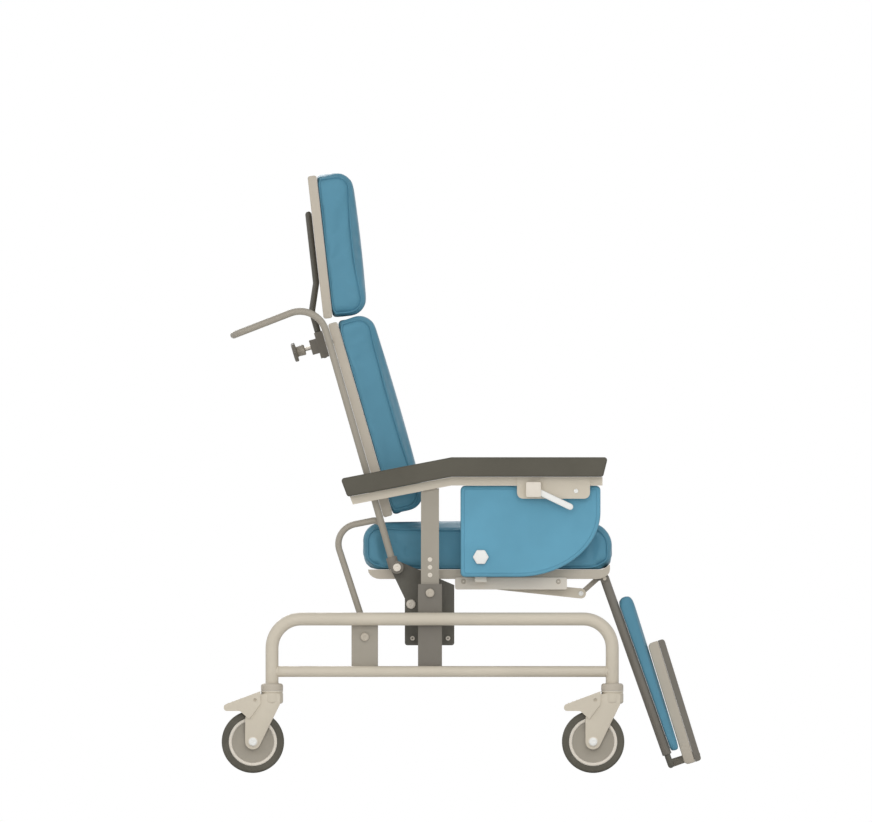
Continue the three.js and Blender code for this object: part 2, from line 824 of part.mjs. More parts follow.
// How far in front of the guide's pivot the hoop's leg runs, when the seat is tilted by an angle
function legOffset(angle) {
  const pivot = new THREE.Vector2(postX, guideZ).rotateAround(new THREE.Vector2(tiltX, tiltZ), -angle);
  return (hoopTopX - pivot.x) * Math.cos(hoopLean) + (hoopTopZ - pivot.y) * Math.sin(hoopLean);
}

// Swivel guide: a square eye that the hoop's leg slides through, on a bolt through the rear post
function swivelGuide(side) {
  const samples = { length: tiltSamples + 1 };
  const offsets = Array.from(samples, (_, i) => legOffset((tiltTravel * i) / tiltSamples));
  const [low, high] = [Math.min(...offsets), Math.max(...offsets)];
  const slotHalf = (high - low) / 2 + hoopRadius + guidePlay;
  const middle = (low + high) / 2;
  const [slotInner, slotOuter] = [hoopY - hoopRadius - guidePlay, hoopY + hoopRadius + guidePlay];
  const outer = postInner - fit;
  const body = box(
    middle - slotHalf - guideWall, middle + slotHalf + guideWall,
    ...span(side, slotInner - guideWall, outer), -guideHalfHeight, guideHalfHeight,
  );
  const slot = box(
    middle - slotHalf, middle + slotHalf, ...span(side, slotInner, slotOuter),
    -guideHalfHeight - overrun, guideHalfHeight + overrun,
  );
  return join(
    cut(body, slot),
    pin(0, 0, tiltPinRadius, ...span(side, slotOuter + guideWall / 2, pillarOuter + boltHeadHeight)),
    pin(0, 0, boltHeadRadius, ...span(side, pillarOuter + fit, pillarOuter + boltHeadHeight)),
  );
}

// Caster fork: swivel head with its stem, two cheeks, the axle and the pedal's pin
function casterFork() {
  const top = casterHeight;
  const headBottom = top - forkHeadHeight;
  const left = -trail - bossRadius;
  const cheekOutline = [
    new THREE.Vector2(-collarRadius, top - 2 * pedalSkin),
    new THREE.Vector2(pedalPinX - pedalSkin, top - pedalPinDrop + 2 * pedalPinRadius),
    new THREE.Vector2(left + 2 * pedalPinRadius, top - pedalPinDrop - 2 * pedalPinRadius),
    new THREE.Vector2(left, wheelRadius + pedalToeRise),
    new THREE.Vector2(left, wheelRadius),
    tangent(forkNeckX, headBottom, -trail, wheelRadius, bossRadius, -1),
    new THREE.Vector2(forkNeckX, headBottom),
    new THREE.Vector2(forkNeckX, top - 2 * pedalSkin),
  ];
  const cheeks = [-1, 1].flatMap((side) => {
    const across = span(side, cheekInner, cheekOuter);
    return [slab(cheekOutline, ...across), pin(-trail, wheelRadius, bossRadius, ...across, 2 * roundSides)];
  });
  const head = new THREE.LatheGeometry(
    [
      new THREE.Vector2(0, headBottom),
      ...arc(collarRadius - collarEdge, headBottom + collarEdge, collarEdge, collarEdge, -rightAngle, 0, 2),
      new THREE.Vector2(collarRadius, top),
      new THREE.Vector2(0, top),
    ],
    roundSides,
  );
  head.rotateX(rightAngle);
  const tip = cheekOuter + axleCapHeight;
  return join(
    head,
    ...cheeks,
    upright(0, 0, stemRadius, headBottom, top + stemLength),
    pin(-trail, wheelRadius, axleRadius, -tip, tip),
    pin(-trail, wheelRadius, axleCapRadius, cheekInner, tip),
    pin(-trail, wheelRadius, axleCapRadius, -tip, -cheekInner),
    pin(pedalPinX, top - pedalPinDrop, pedalPinRadius, -cheekOuter - pedalSkin, -cheekInner),
    pin(pedalPinX, top - pedalPinDrop, pedalPinRadius, cheekInner, cheekOuter + pedalSkin),
  );
}

// Wheel: hub, dished disc, rim and tyre turned as one profile; its flats stand on the floor
function casterWheel() {
  const tread = wheelRadius / Math.cos(Math.PI / wheelSides);
  const hubHalf = cheekInner - fit;
  const half = [
    [axleRadius + play, hubHalf],
    [hubRadius, hubHalf],
    [hubRadius + discRecess / 2, wheelHalf - discRecess],
    [discRadius, wheelHalf - discRecess],
    [discRadius + discRecess / 2, wheelHalf],
    [rimRadius, wheelHalf],
    [tread - treadShoulder, wheelHalf],
    [tread, wheelHalf - treadShoulder],
  ].map(([radius, y]) => new THREE.Vector2(radius, y));
  const other = half.map((point) => new THREE.Vector2(point.x, -point.y)).reverse();
  const profile = [...half, ...other, half[0]].reverse();
  const wheel = new THREE.LatheGeometry(profile, wheelSides);
  wheel.rotateY(Math.PI / wheelSides);
  wheel.translate(-trail, 0, wheelRadius);
  return wheel;
}

// Brake pedal: a cap over the fork, hollow below, hinged on the fork's side pins
function brakePedal() {
  const top = casterHeight - fit;
  const heel = -collarRadius - 2 * play;
  const outline = rounded([
    [heel, top],
    [-pedalReach, top - pedalTipDrop, pedalTipRadius],
    [-pedalReach, top - pedalTipDrop - pedalTipHeight, pedalTipRadius],
    [-pedalHeelX, top - pedalTipDrop - pedalTipHeight, pedalTipRadius],
    [-trail - bossRadius / 2, wheelRadius + pedalToeRise],
    [heel, top - forkHeadHeight],
  ]);
  const half = cheekOuter + fit + pedalSkin;
  const inside = moved(outline, pedalSkin + play, -pedalSkin);
  const open = [pedalSkin - half, half - pedalSkin];
  const tipBottom = top - pedalTipDrop - pedalTipHeight;
  const wheelRoom = box(-pedalHeelX, heel + overrun, ...open, wheelRadius, tipBottom);
  const pinHole = pin(pedalPinX, casterHeight - pedalPinDrop, pedalPinRadius + play, ...past([-half, half]));
  return cut(slab(outline, -half, half), slab(inside, ...open), wheelRoom, pinHole);
}

// Seat tray: a shallow pan that cups the cushion's front edge, open below and in front, where the leg
// rest hangs on its two pins
function seatTray() {
  const lipTop = trayTopZ + trayLip;
  const outline = [
    ...arc(trayRearX + trayRearCurve, trayTopZ, trayRearCurve, trayThickness, Math.PI, 1.5 * Math.PI),
    ...arc(trayFrontX - trayFrontCurve, trayTopZ, trayFrontCurve, trayThickness, 1.5 * Math.PI, 2 * Math.PI),
    new THREE.Vector2(trayFrontX, lipTop),
    new THREE.Vector2(cushionFrontX - cushionFrontBottomRadius, lipTop),
    new THREE.Vector2(cushionFrontX - cushionFrontBottomRadius, trayTopZ),
  ];
  const cup = pin(
    cushionFrontX - cushionFrontBottomRadius, trayTopZ + fit + cushionFrontBottomRadius,
    cushionFrontBottomRadius + fit, -seatHalf - overrun, seatHalf + overrun, 4 * roundSides,
  );
  const pocket = box(
    trayRearX + trayRearCurve, trayFrontX - trayFrontWall, trayWall - seatHalf, seatHalf - trayWall,
    trayBottomZ - overrun, trayTopZ - traySkin,
  );
  const mouthHalf = legHalf + legTubeRadius + legNotchPlay;
  const mouth = box(
    trayFrontX - trayFrontWall - legNotchLength, trayFrontX + overrun,
    -mouthHalf, mouthHalf, trayBottomZ - overrun, legNotchTopZ,
  );
  const tray = cut(slab(outline, -seatHalf, seatHalf), cup, pocket, mouth);
  const hinges = [-1, 1].map((side) =>
    pin(legX, legZ, legPinRadius, ...span(side, legHalf - legTubeRadius, seatHalf - trayWall + traySkin)),
  );
  const lugs = [-1, 1].flatMap((side) => {
    const across = span(side, linkOuter + fit, linkOuter + fit + linkLugThickness);
    const root = rounded([
      [linkX - linkRootRadius, trayTopZ - traySkin / 2],
      [linkX - linkRootRadius, linkZ - linkRootRadius, linkRootRadius],
      [linkX + linkRootRadius, linkZ - linkRootRadius, linkRootRadius],
      [linkX + linkRootRadius, trayTopZ - traySkin / 2],
    ]);
    const stub = pin(linkX, linkZ, linkPinRadius, ...span(side, linkInner, linkOuter + linkLugThickness));
    return [slab(root, ...across), stub];
  });
  return join(tray, ...hinges, ...lugs);
}

function seatCushion() {
  const outline = rounded([
    [cushionRearX, cushionTopZ - cushionCrown, cushionRearTopRadius],
    [cushionRearX, trayTopZ + fit, cushionRearBottomRadius],
    [cushionFrontX, trayTopZ + fit, cushionFrontBottomRadius],
    [cushionFrontX, cushionTopZ - cushionCrown, cushionFrontTopRadius],
  ]);
  return cushion(clockwise(outline), seatHalf - 2 * fit, cushionSideRadius, cushionCrown, cushionPull, false);
}

// Side plate: bolted to the tray, hung on the tilt pin, with the recline stud at its rear lobe
function sidePlate(side) {
  const rear = plateFrontX - plateLength;
  const waist = tiltZ - clevisBelowPin / 2;
  const corner = (x, from) =>
    arc(x, plateBottomZ + plateCorner, plateCorner, plateCorner, from, from + rightAngle, 3);
  const outline = [
    ...corner(plateFrontX - plateCorner, -rightAngle),
    new THREE.Vector2(plateFrontX, trayBottomZ - plateFrontTopDrop),
    new THREE.Vector2(plateShoulderX, plateShoulderZ),
    tangent(plateShoulderX, plateShoulderZ, reclineX, reclineZ, lobeRadius, 1),
    new THREE.Vector2(reclineX, reclineZ),
    tangent(rear, waist, reclineX, reclineZ, lobeRadius, -1),
    new THREE.Vector2(rear, waist),
    ...corner(rear + plateCorner, Math.PI),
  ];
  const across = span(side, plateInner, plateOuter);
  const lobe = pin(reclineX, reclineZ, lobeRadius, ...across, 2 * roundSides);
  const flat = join(slab(outline, ...across), lobe);
  const bore = pin(tiltX, tiltZ, tiltPinRadius + play, ...past(across));
  const boltSpan = span(side, plateInner, plateOuter + smallBoltHeight);
  const bolts = [rear + smallBoltInset, plateFrontX - smallBoltInset].map((x) =>
    pin(x, plateBottomZ + smallBoltInset, smallBoltRadius, ...boltSpan),
  );
  return join(
    cut(flat, bore),
    ...bolts,
    pin(adjustBoltX, adjustBoltZ, adjustBoltRadius, ...boltSpan),
    pin(reclineX, reclineZ, reclinePinRadius, ...span(side, plateInner, studEnd + boltHeadHeight)),
    pin(reclineX, reclineZ, boltHeadRadius, ...span(side, studEnd, studEnd + boltHeadHeight)),
  );
}

// Spring channel: a folded strip between the side plates, with two lugs for the gas spring's front pin
function springChannel() {
  const [rear, front] = [plateFrontX - plateLength + channelWall, plateFrontX - channelWall];
  const bottom = plateBottomZ + channelWall;
  const outline = rounded([
    [rear, bottom + channelHeight],
    [rear, bottom, plateCorner],
    [front, bottom, plateCorner],
    [front, bottom + channelHeight],
    [front - channelWall, bottom + channelHeight],
    [front - channelWall, bottom + channelWall],
    [rear + channelWall, bottom + channelWall],
    [rear + channelWall, bottom + channelHeight],
  ], 3);
  const reach = springEyeHalf + fit + springLugThickness;
  const lugRadius = springPinRadius + springLugThickness;
  const lugOutline = [
    ...arc(springPinX, springPinZ, lugRadius, lugRadius, 0, Math.PI, 2 * arcSteps),
    new THREE.Vector2(springPinX - lugRadius, bottom),
    new THREE.Vector2(springPinX + 2 * lugRadius, bottom),
  ];
  const lugs = [-1, 1].map((side) => slab(lugOutline, ...span(side, springEyeHalf + fit, reach)));
  const hinge = pin(springPinX, springPinZ, springPinRadius, -reach, reach);
  return join(slab(outline, -seatHalf, seatHalf), ...lugs, hinge);
}

// Gas spring, along +X from its rear eye in a frame of its own
const springRear = new THREE.Vector2(rearCrossX + springReach, topRailZ);
const springFront = new THREE.Vector2(springPinX, springPinZ - springEyeDrop);
const springLine = springFront.clone().sub(springRear);

function springCylinder() {
  const across = [-springEyeHalf, springEyeHalf];
  const body = lengthwise(springCapLength, springBodyLength, 0, 0, springBodyRadius);
  const eye = pin(0, 0, springEyeRadius, ...across);
  const neck = box(0, springCapLength + springEyeHalf, ...across, ...across);
  const hole = pin(0, 0, springPinRadius + play, ...past(across));
  const bore = lengthwise(...past([springRodStart, springBodyLength]), 0, 0, springRodRadius + play);
  return cut(join(body, eye, neck), hole, bore);
}

function springRod() {
  const length = springLine.length();
  const across = [-springEyeHalf, springEyeHalf];
  const hole = springPinRadius + springEyePlay;
  const shaft = lengthwise(springRodStart, length - hole, 0, 0, springRodRadius);
  const eye = pin(length, 0, springEyeRadius, ...across);
  return cut(join(shaft, eye), pin(length, 0, hole, ...past(across)));
}

// Seat rail: a strip over the tray's edge with a ledge under it, and the slotted tab for the side panel
function seatRail(side) {
  const strip = slab(
    rounded([
      [railRearX, seatRailBottomZ, seatRailCorner],
      [railRearX + seatRailLength, seatRailBottomZ, seatRailCorner],
      [railRearX + seatRailLength, seatRailTopZ, seatRailCorner],
      [railRearX, seatRailTopZ, seatRailCorner],
    ]),
    ...span(side, plateInner, plateOuter),
  );
  const [low, high] = [trayBottomZ - fit - railLedgeThickness, trayBottomZ - fit];
  const ledge = box(
    railRearX + seatRailCorner, railRearX + seatRailLength - seatRailCorner,
    ...span(side, plateInner - railLedge / 2, plateInner + plateThickness / 2), low, high,
  );
  const tabOuter = panelInner - fit;
  const tabXs = [knobX - tabWidth / 2, knobX + tabWidth / 2];
  const tabYs = span(side, tabOuter - tabThickness, tabOuter);
  const foot = box(...tabXs, ...span(side, plateOuter - plateThickness / 2, tabOuter), low, high);
  const tab = box(...tabXs, ...tabYs, low, knobZ + tabRise);
  const slotHalf = knobBoltRadius + play;
  const slotEnds = [knobZ - play, knobZ + armTravel + play];
  const slot = slab(bone(knobX, slotEnds[0], slotHalf, knobX, slotEnds[1], slotHalf), ...past(tabYs));
  const rivetZ = seatRailTopZ - seatRailHeight / 3;
  const rivets = [railRearX + rivetInset, railRearX + seatRailLength - rivetInset].map((x) =>
    pin(x, rivetZ, rivetRadius, ...span(side, plateInner, plateOuter + rivetHeight)),
  );
  return join(strip, ledge, cut(join(foot, tab), slot), ...rivets);
}

// Hoop: from an eye on the recline stud, up beside the back tube, rearwards and down through the guide
function hoop(side) {
  const y = side * hoopY;
  const down = new THREE.Vector2(Math.sin(hoopLean), -Math.cos(hoopLean));
  const legLength = (hoopTopZ - guideZ + hoopBelowGuide) / Math.cos(hoopLean);
  const rootX = reclineX - backTubeSetback;
  const rise = (hoopTopZ - reclineZ + (rootX - hoopTopX) * Math.tan(hoopSlope))
    / (1 + Math.tan(backLean) * Math.tan(hoopSlope));
  const places = [
    new THREE.Vector3(rootX, y, reclineZ),
    new THREE.Vector3(rootX - rise * Math.tan(backLean), y, reclineZ + rise),
    new THREE.Vector3(hoopTopX, y, hoopTopZ),
    new THREE.Vector3(hoopTopX + legLength * down.x, y, hoopTopZ + legLength * down.y),
  ];
  const bent = tube(places, [hoopFrontBend, hoopRearBend], hoopRadius);
  const eyeSpan = span(side, plateOuter + fit, hoopY + hoopRadius);
  const eye = pin(reclineX, reclineZ, lobeRadius, ...eyeSpan);
  const holeSpan = span(side, plateOuter - overrun, backTubeY);
  const hole = pin(reclineX, reclineZ, reclinePinRadius + play, ...holeSpan);
  return cut(join(bent, eye), hole);
}

// Arm upright: box tube with the height holes, its foot round the tilt pin, and its block to the plate
function armUpright(side) {
  const xs = [tiltX - uprightWidth / 2, tiltX + uprightWidth / 2];
  const [inner, outer] = [uprightY - uprightDepth / 2, uprightY + uprightDepth / 2];
  const topAt = (x) => armPlateBottomZ + (x - armBendX) * Math.tan(armSlope) - uprightTopPlay;
  const radius = uprightWidth / 2;
  const outline = [
    new THREE.Vector2(xs[0], topAt(xs[0])),
    ...arc(tiltX, tiltZ, radius, radius, Math.PI, 2 * Math.PI, 2 * arcSteps),
    new THREE.Vector2(xs[1], topAt(xs[1])),
  ];
  const post = slab(outline, ...span(side, inner, outer));
  const blockClear = pillarAbovePin + 2 * fit + blockHalfX * Math.sin(tiltTravel);
  const blockBottom = tiltZ + blockClear / Math.cos(tiltTravel);
  const bore = box(
    xs[0] + boxWall, xs[1] - boxWall, ...span(side, inner + boxWall, outer - boxWall),
    blockBottom + blockHeight / 2, armTopZ,
  );
  const holes = [-1, 0, 1].map((step) =>
    pin(tiltX, uprightHoleZ + step * uprightHolePitch, uprightHoleRadius,
      ...span(side, outer - boxWall - play, outer + overrun)),
  );
  const pinHole = pin(tiltX, tiltZ, tiltPinRadius + play, ...span(side, inner - overrun, outer + overrun));
  const block = box(
    tiltX - blockHalfX, tiltX + blockHalfX, ...span(side, plateOuter + fit, inner + boxWall),
    blockBottom, blockBottom + blockHeight,
  );
  return join(cut(post, bore, ...holes, pinHole), block);
}

// Arm outlines share the bend and the slope; drop is measured square to the top face
function armOutline(drop, frontX, rearLength, thickness, frontRake, rearRake, corner) {
  const rear = new THREE.Vector2(-Math.cos(armSlope), -Math.sin(armSlope));
  const bend = (depth) => new THREE.Vector2(armBendX, armTopZ - depth);
  const top = bend(drop).addScaledVector(rear, rearLength);
  const bottom = bend(drop + thickness).addScaledVector(rear, rearLength - rearRake);
  return rounded([
    [top.x, top.y, corner],
    [bottom.x, bottom.y, corner],
    [armBendX, armTopZ - drop - thickness],
    [frontX - frontRake, armTopZ - drop - thickness, corner],
    [frontX, armTopZ - drop, corner],
    [armBendX, armTopZ - drop],
  ], 3);
}

function armPad(side) {
  const rakes = [armPadFrontRake, armPadRearRake];
  const outline = armOutline(0, armFrontX, armRearLength, armPadThickness, ...rakes, armPadCorner);
  return softSlab(outline, ...span(side, armPadInner, armPadInner + armPadWidth), armPadEdge);
}

// Arm bracket: the plate under the pad, the lever's flange and slotted block, and the height post
function armBracket(side) {
  const drop = armPadThickness + fit;
  const front = armFrontX - armPlateSetback;
  const rearLength = armRearLength - armPlateRearInset - armPadRearRake / 2;
  const plateOutline = armOutline(drop, front, rearLength, armPlateThickness, 0, armPlateRearInset / 2, fit);
  const plate = slab(plateOutline, ...span(side, armPlateInner, armPlateOuter));
  const bracketFront = bracketRearX + bracketLength;
  const flange = slab(
    rounded([
      [bracketRearX, armPlateTopZ],
      [bracketRearX, armPlateBottomZ - bracketDrop, bracketCorner],
      [bracketFront, armPlateBottomZ - bracketDrop, bracketCorner],
      [bracketFront, armPlateTopZ],
    ]),
    ...span(side, armPlateOuter - bracketThickness, bracketOuter),
  );
  const blockRear = leverX - leverBlockRise;
  const [blockTop, blockBottom] = [leverZ + leverBlockRise, leverZ + leverBlockRise - leverBlockHeight];
  const blockOuter = bracketOuter + leverBlockDepth;
  const blockFront = blockRear + leverBlockLength;
  const blockYs = span(side, bracketOuter - bracketThickness, blockOuter);
  const block = box(blockRear, blockFront, ...blockYs, blockBottom, blockTop);
  const slotYs = span(side, bracketOuter + leverBlockWall, blockOuter - leverBlockWall);
  const slotReach = leverRadius + play;
  const slot = box(
    leverX - slotReach, blockFront + overrun, ...slotYs, blockBottom - overrun, leverZ + slotReach,
  );
  const innerHalfX = uprightWidth / 2 - boxWall - innerPostPlay;
  const innerHalfY = uprightDepth / 2 - boxWall - innerPostPlay;
  const post = box(
    tiltX - innerHalfX, tiltX + innerHalfX, ...span(side, uprightY - innerHalfY, uprightY + innerHalfY),
    armPlateBottomZ - innerPostLength, armPlateBottomZ,
  );
  return join(
    plate,
    post,
    cut(join(flange, block), slot),
    pin(leverX, leverZ, leverPinRadius, ...span(side, bracketOuter, blockOuter - leverBlockWall / 2)),
    pin(
      bracketScrewX, bracketScrewZ, bracketScrewRadius,
      ...span(side, armPlateOuter, bracketOuter + rivetHeight),
    ),
  );
}

function releaseLever(side) {
  const inner = bracketOuter + leverBlockWall + play;
  const across = span(side, inner, inner + leverThickness);
  const tipX = leverX + (leverLength - leverRadius) * Math.cos(leverDroop);
  const tipZ = leverZ - (leverLength - leverRadius) * Math.sin(leverDroop);
  const arm = slab(bone(leverX, leverZ, leverRadius, tipX, tipZ, leverRadius), ...across);
  return cut(arm, pin(leverX, leverZ, leverPinRadius + play, ...past(across)));
}

// Side panel: padded board with a quarter-ellipse sweep at its lower front corner
function sidePanel(side) {
  const front = panelRearX + panelLength;
  const bottom = panelTopZ - panelHeight;
  const corners = rounded([
    [front, panelTopZ, panelCorner],
    [panelRearX, panelTopZ, panelCorner],
    [panelRearX, bottom, panelCorner],
    [front - panelCurveX, bottom],
    [front, bottom + panelCurveZ],
  ], 3).slice(0, -2);
  const centre = [front - panelCurveX, bottom + panelCurveZ];
  const sweep = arc(...centre, panelCurveX, panelCurveZ, 1.5 * Math.PI, 2 * Math.PI, 2 * arcSteps);
  const across = span(side, panelInner, panelOuter);
  const body = softSlab([...corners, ...sweep], ...across, panelEdge);
  return cut(body, pin(knobX, knobZ, knobBoltRadius + play, ...past(across)));
}

function hexKnob(side) {
  const outer = panelOuter + fit;
  const inner = panelInner - fit - tabThickness - fit;
  const radius = knobFlats / Math.sqrt(3);
  const head = slab(circle(knobX, knobZ, radius, 6), ...span(side, outer, outer + knobHeight));
  return join(
    head,
    pin(knobX, knobZ, knobBoltRadius, ...span(side, inner - knobNutHeight, outer + knobHeight / 2)),
    pin(knobX, knobZ, knobNutRadius, ...span(side, inner - knobNutHeight, inner)),
  );
}

// Back frame: one tube up both sides and round the push bar, two cross tubes, and the cast end sleeves
function backFrame() {
  const x = -backTubeSetback;
  const handleX = x - handleLength * Math.cos(handleDroop);
  const handleZ = backTubeHeight - handleLength * Math.sin(handleDroop);
  const places = [
    new THREE.Vector3(x, -backTubeY, 0),
    new THREE.Vector3(x, -backTubeY, backTubeHeight),
    new THREE.Vector3(handleX, -backTubeY, handleZ),
    new THREE.Vector3(handleX, backTubeY, handleZ),
    new THREE.Vector3(x, backTubeY, backTubeHeight),
    new THREE.Vector3(x, backTubeY, 0),
  ];
  const bends = [handleBend, handleCornerBend, handleCornerBend, handleBend];
  const crosses = [upperCrossZ, lowerCrossZ].map((z) => pin(x, z, backTubeRadius, -backTubeY, backTubeY));
  const sleeves = [-1, 1].flatMap((side) => [
    upright(x, side * backTubeY, sleeveRadius, 0, sleeveHeight),
    pin(0, 0, lobeRadius, ...span(side, backTubeY - sleeveRadius, backTubeY + sleeveRadius)),
  ]);
  const holes = [-1, 1].map((side) =>
    pin(0, 0, reclinePinRadius + play, ...span(side, hoopY, backTubeY + sleeveRadius + overrun)),
  );
  return cut(join(tube(places, bends, backTubeRadius), ...crosses, ...sleeves), ...holes);
}

const boardX = backTubeRadius - backTubeSetback + fit;

function backBoard() {
  const corners = [
    [boardX, backBottomZ, boardCorner],
    [boardX + boardThickness, backBottomZ, boardCorner],
    [boardX + boardThickness, backTopZ, boardCorner],
    [boardX, backTopZ, boardCorner],
  ];
  return slab(rounded(corners, 2), -boardHalf, boardHalf);
}

function paddedFace(rearX, bottomZ, topZ, half) {
  const frontX = rearX + padThickness - cushionCrown;
  const outline = rounded([
    [rearX, bottomZ, padRearRadius],
    [frontX, bottomZ, padFrontRadius],
    [frontX, topZ, padFrontRadius],
    [rearX, topZ, padRearRadius],
  ]);
  return cushion(clockwise(outline), half, cushionSideRadius, cushionCrown, cushionPull, true);
}

// Headrest clamp: a base on the upper cross tube and a nose that the knob screws into
function headrestClamp() {
  const front = -backTubeSetback - backTubeRadius - fit;
  const rear = front - clampBaseThickness;
  const nose = rear - clampNoseReach;
  const [low, high] = [upperCrossZ - clampBaseHeight / 2, upperCrossZ + clampBaseHeight / 2];
  const base = box(rear, front, -clampWidth / 2, clampWidth / 2, low, high);
  const block = box(
    nose, rear + boxWall, -clampNoseWidth / 2, clampNoseWidth / 2,
    upperCrossZ - clampNoseHeight / 2, upperCrossZ + clampNoseHeight / 2,
  );
  const barHole = upright(-barSetback, 0, barRadius + play, low - overrun, high + overrun);
  const screwEnd = -barSetback - barRadius;
  const screwHole = lengthwise(nose - overrun, screwEnd, 0, upperCrossZ, knobShaftRadius + play);
  return cut(join(base, block), barHole, screwHole);
}

function clampKnob() {
  const nose = -backTubeSetback - backTubeRadius - fit - clampBaseThickness - clampNoseReach;
  const hubFront = nose - knobGap;
  const hubRear = hubFront - knobHubLength;
  return join(
    lengthwise(hubRear, -barSetback - barRadius - 2 * play, 0, upperCrossZ, knobShaftRadius),
    lengthwise(hubRear - knobDiscThickness / 2, hubFront, 0, upperCrossZ, knobHubRadius),
    lengthwise(hubRear - knobDiscThickness, hubRear, 0, upperCrossZ, knobDiscRadius, 2 * roundSides),
  );
}

// Headrest bar: straight in the clamp, then bent forward and up against the headrest's board
function headrestBar() {
  const turn = (x, z) =>
    new THREE.Vector3(
      headRearX + x * Math.cos(headTurn) + z * Math.sin(headTurn), 0,
      headBottomZ - x * Math.sin(headTurn) + z * Math.cos(headTurn),
    );
  const behind = -barRadius - fit;
  const places = [
    new THREE.Vector3(-barSetback, 0, barBottomZ),
    new THREE.Vector3(-barSetback, 0, barWaistZ),
    turn(behind, barKneeZ),
    turn(behind, barTopZ),
  ];
  return tube(places, [barBend, barBend], barRadius);
}

function headrestBoard() {
  const corners = [
    [0, 0, boardCorner],
    [headBoardThickness, 0, boardCorner],
    [headBoardThickness, headHeight, boardCorner],
    [0, headHeight, boardCorner],
  ];
  return slab(rounded(corners, 2), -headrestHalf, headrestHalf);
}

// Leg frame: two bored tubes, two cross bars, and the cranks that the rods push on
function legFrame() {
  const crank = new THREE.Vector2(crankX - legX, crankZ - legZ).rotateAround(new THREE.Vector2(), -legLean);
  const eyeRadius = crankPinRadius + crankEyeWall;
  const pieces = [-1, 1].map((side) => {
    const y = side * legHalf;
    const [inner, outer] = span(side, legHalf - legTubeRadius, legHalf + legTubeRadius);
    const shaft = upright(0, y, legTubeRadius, -legTubeLength, 0);
    const head = pin(0, 0, legTubeRadius, inner, outer);
    const bore = upright(0, y, legBoreRadius, -legTubeLength - overrun, legBoreLength - legTubeLength);
    const hinge = pin(0, 0, legPinRadius + play, inner - overrun, outer + overrun);
    return cut(join(shaft, head), bore, hinge);
  });
  const cranks = [-1, 1].flatMap((side) => [
    slab(
      bone(0, 0, eyeRadius + play, crank.x, crank.y, eyeRadius),
      ...span(side, rodOuter + fit, legHalf - legTubeRadius / 2),
    ),
    pin(crank.x, crank.y, crankPinRadius, ...span(side, rodInner, legHalf - legTubeRadius)),
  ]);
  const hinges = [-1, 1].map((side) =>
    pin(0, 0, legPinRadius + play, ...past(span(side, rodInner, legHalf + legTubeRadius))),
  );
  const bars = legBarShares.map((share) =>
    pin(0, -share * legTubeLength, legBarRadius, legBoreRadius - legHalf, legHalf - legBoreRadius),
  );
  const joined = join(...pieces, ...cranks, ...bars);
  const bores = [-1, 1].map((side) =>
    upright(0, side * legHalf, legBoreRadius, -legTubeLength - overrun, legBoreLength - legTubeLength),
  );
  return cut(joined, ...hinges, ...bores);
}

// Link pair: a tapered bar each side, from the tray's lug to the rod, with a tie between them
function linkPair() {
  const tieX = linkX + (linkEndX - linkX) * tieShare;
  const tieZ = linkZ + (linkEndZ - linkZ) * tieShare;
  const bars = [-1, 1].map((side) => {
    const across = span(side, linkInner, linkOuter);
    const arm = slab(bone(linkX, linkZ, linkRootRadius, linkEndX, linkEndZ, linkEndRadius), ...across);
    return cut(arm, pin(linkX, linkZ, linkPinRadius + play, across[0] - overrun, across[1] + overrun));
  });
  const pins = [-1, 1].map((side) =>
    pin(linkEndX, linkEndZ, crankPinRadius, ...span(side, rodInner, linkOuter)),
  );
  return join(...bars, ...pins, pin(tieX, tieZ, tieRadius, -linkInner, linkInner));
}

function rodPair() {
  const tieX = linkEndX + (crankX - linkEndX) * rodTieShare;
  const tieZ = linkEndZ + (crankZ - linkEndZ) * rodTieShare;
  const rods = [-1, 1].map((side) => {
    const across = span(side, rodInner, rodOuter);
    const arm = join(
      slab(bone(linkEndX, linkEndZ, rodHalfWidth, crankX, crankZ, rodHalfWidth), ...across),
      pin(linkEndX, linkEndZ, crankPinRadius + crankEyeWall, ...across),
      pin(crankX, crankZ, crankEyeRadius, ...across),
    );
    const through = [across[0] - overrun, across[1] + overrun];
    return cut(
      arm,
      pin(linkEndX, linkEndZ, crankPinRadius + play, ...through),
      pin(crankX, crankZ, crankPinRadius + crankEyePlay, ...through),
    );
  });
  return join(...rods, pin(tieX, tieZ, rodTieRadius, -rodInner - play, rodInner + play));
}

// The foot board's rear face, as x at a height on the leg
function footBoardFace(z) {
  return footBoardX + (z - footBoardZ) * Math.tan(footBoardTurn);
}

function calfPad() {
  const rear = legTubeRadius + fit;
  const outline = rounded([
    [rear, calfBottomZ, padRearRadius],
    [footBoardFace(calfBottomZ) - calfFitting - cushionCrown, calfBottomZ, padRearRadius],
    [footBoardFace(calfTopZ) - calfFitting - cushionCrown, calfTopZ, calfTopRadius],
    [rear, calfTopZ, calfTopRadius],
  ], 4);
  return cushion(clockwise(outline), calfHalf, calfSideRadius, cushionCrown, calfPull, true);
}

function footPin() {
  const cos = Math.cos(footBoardTurn);
  const sin = Math.sin(footBoardTurn);
  return new THREE.Vector2(
    footBoardX + footPinX * cos + footPinZ * sin, footBoardZ - footPinX * sin + footPinZ * cos,
  );
}

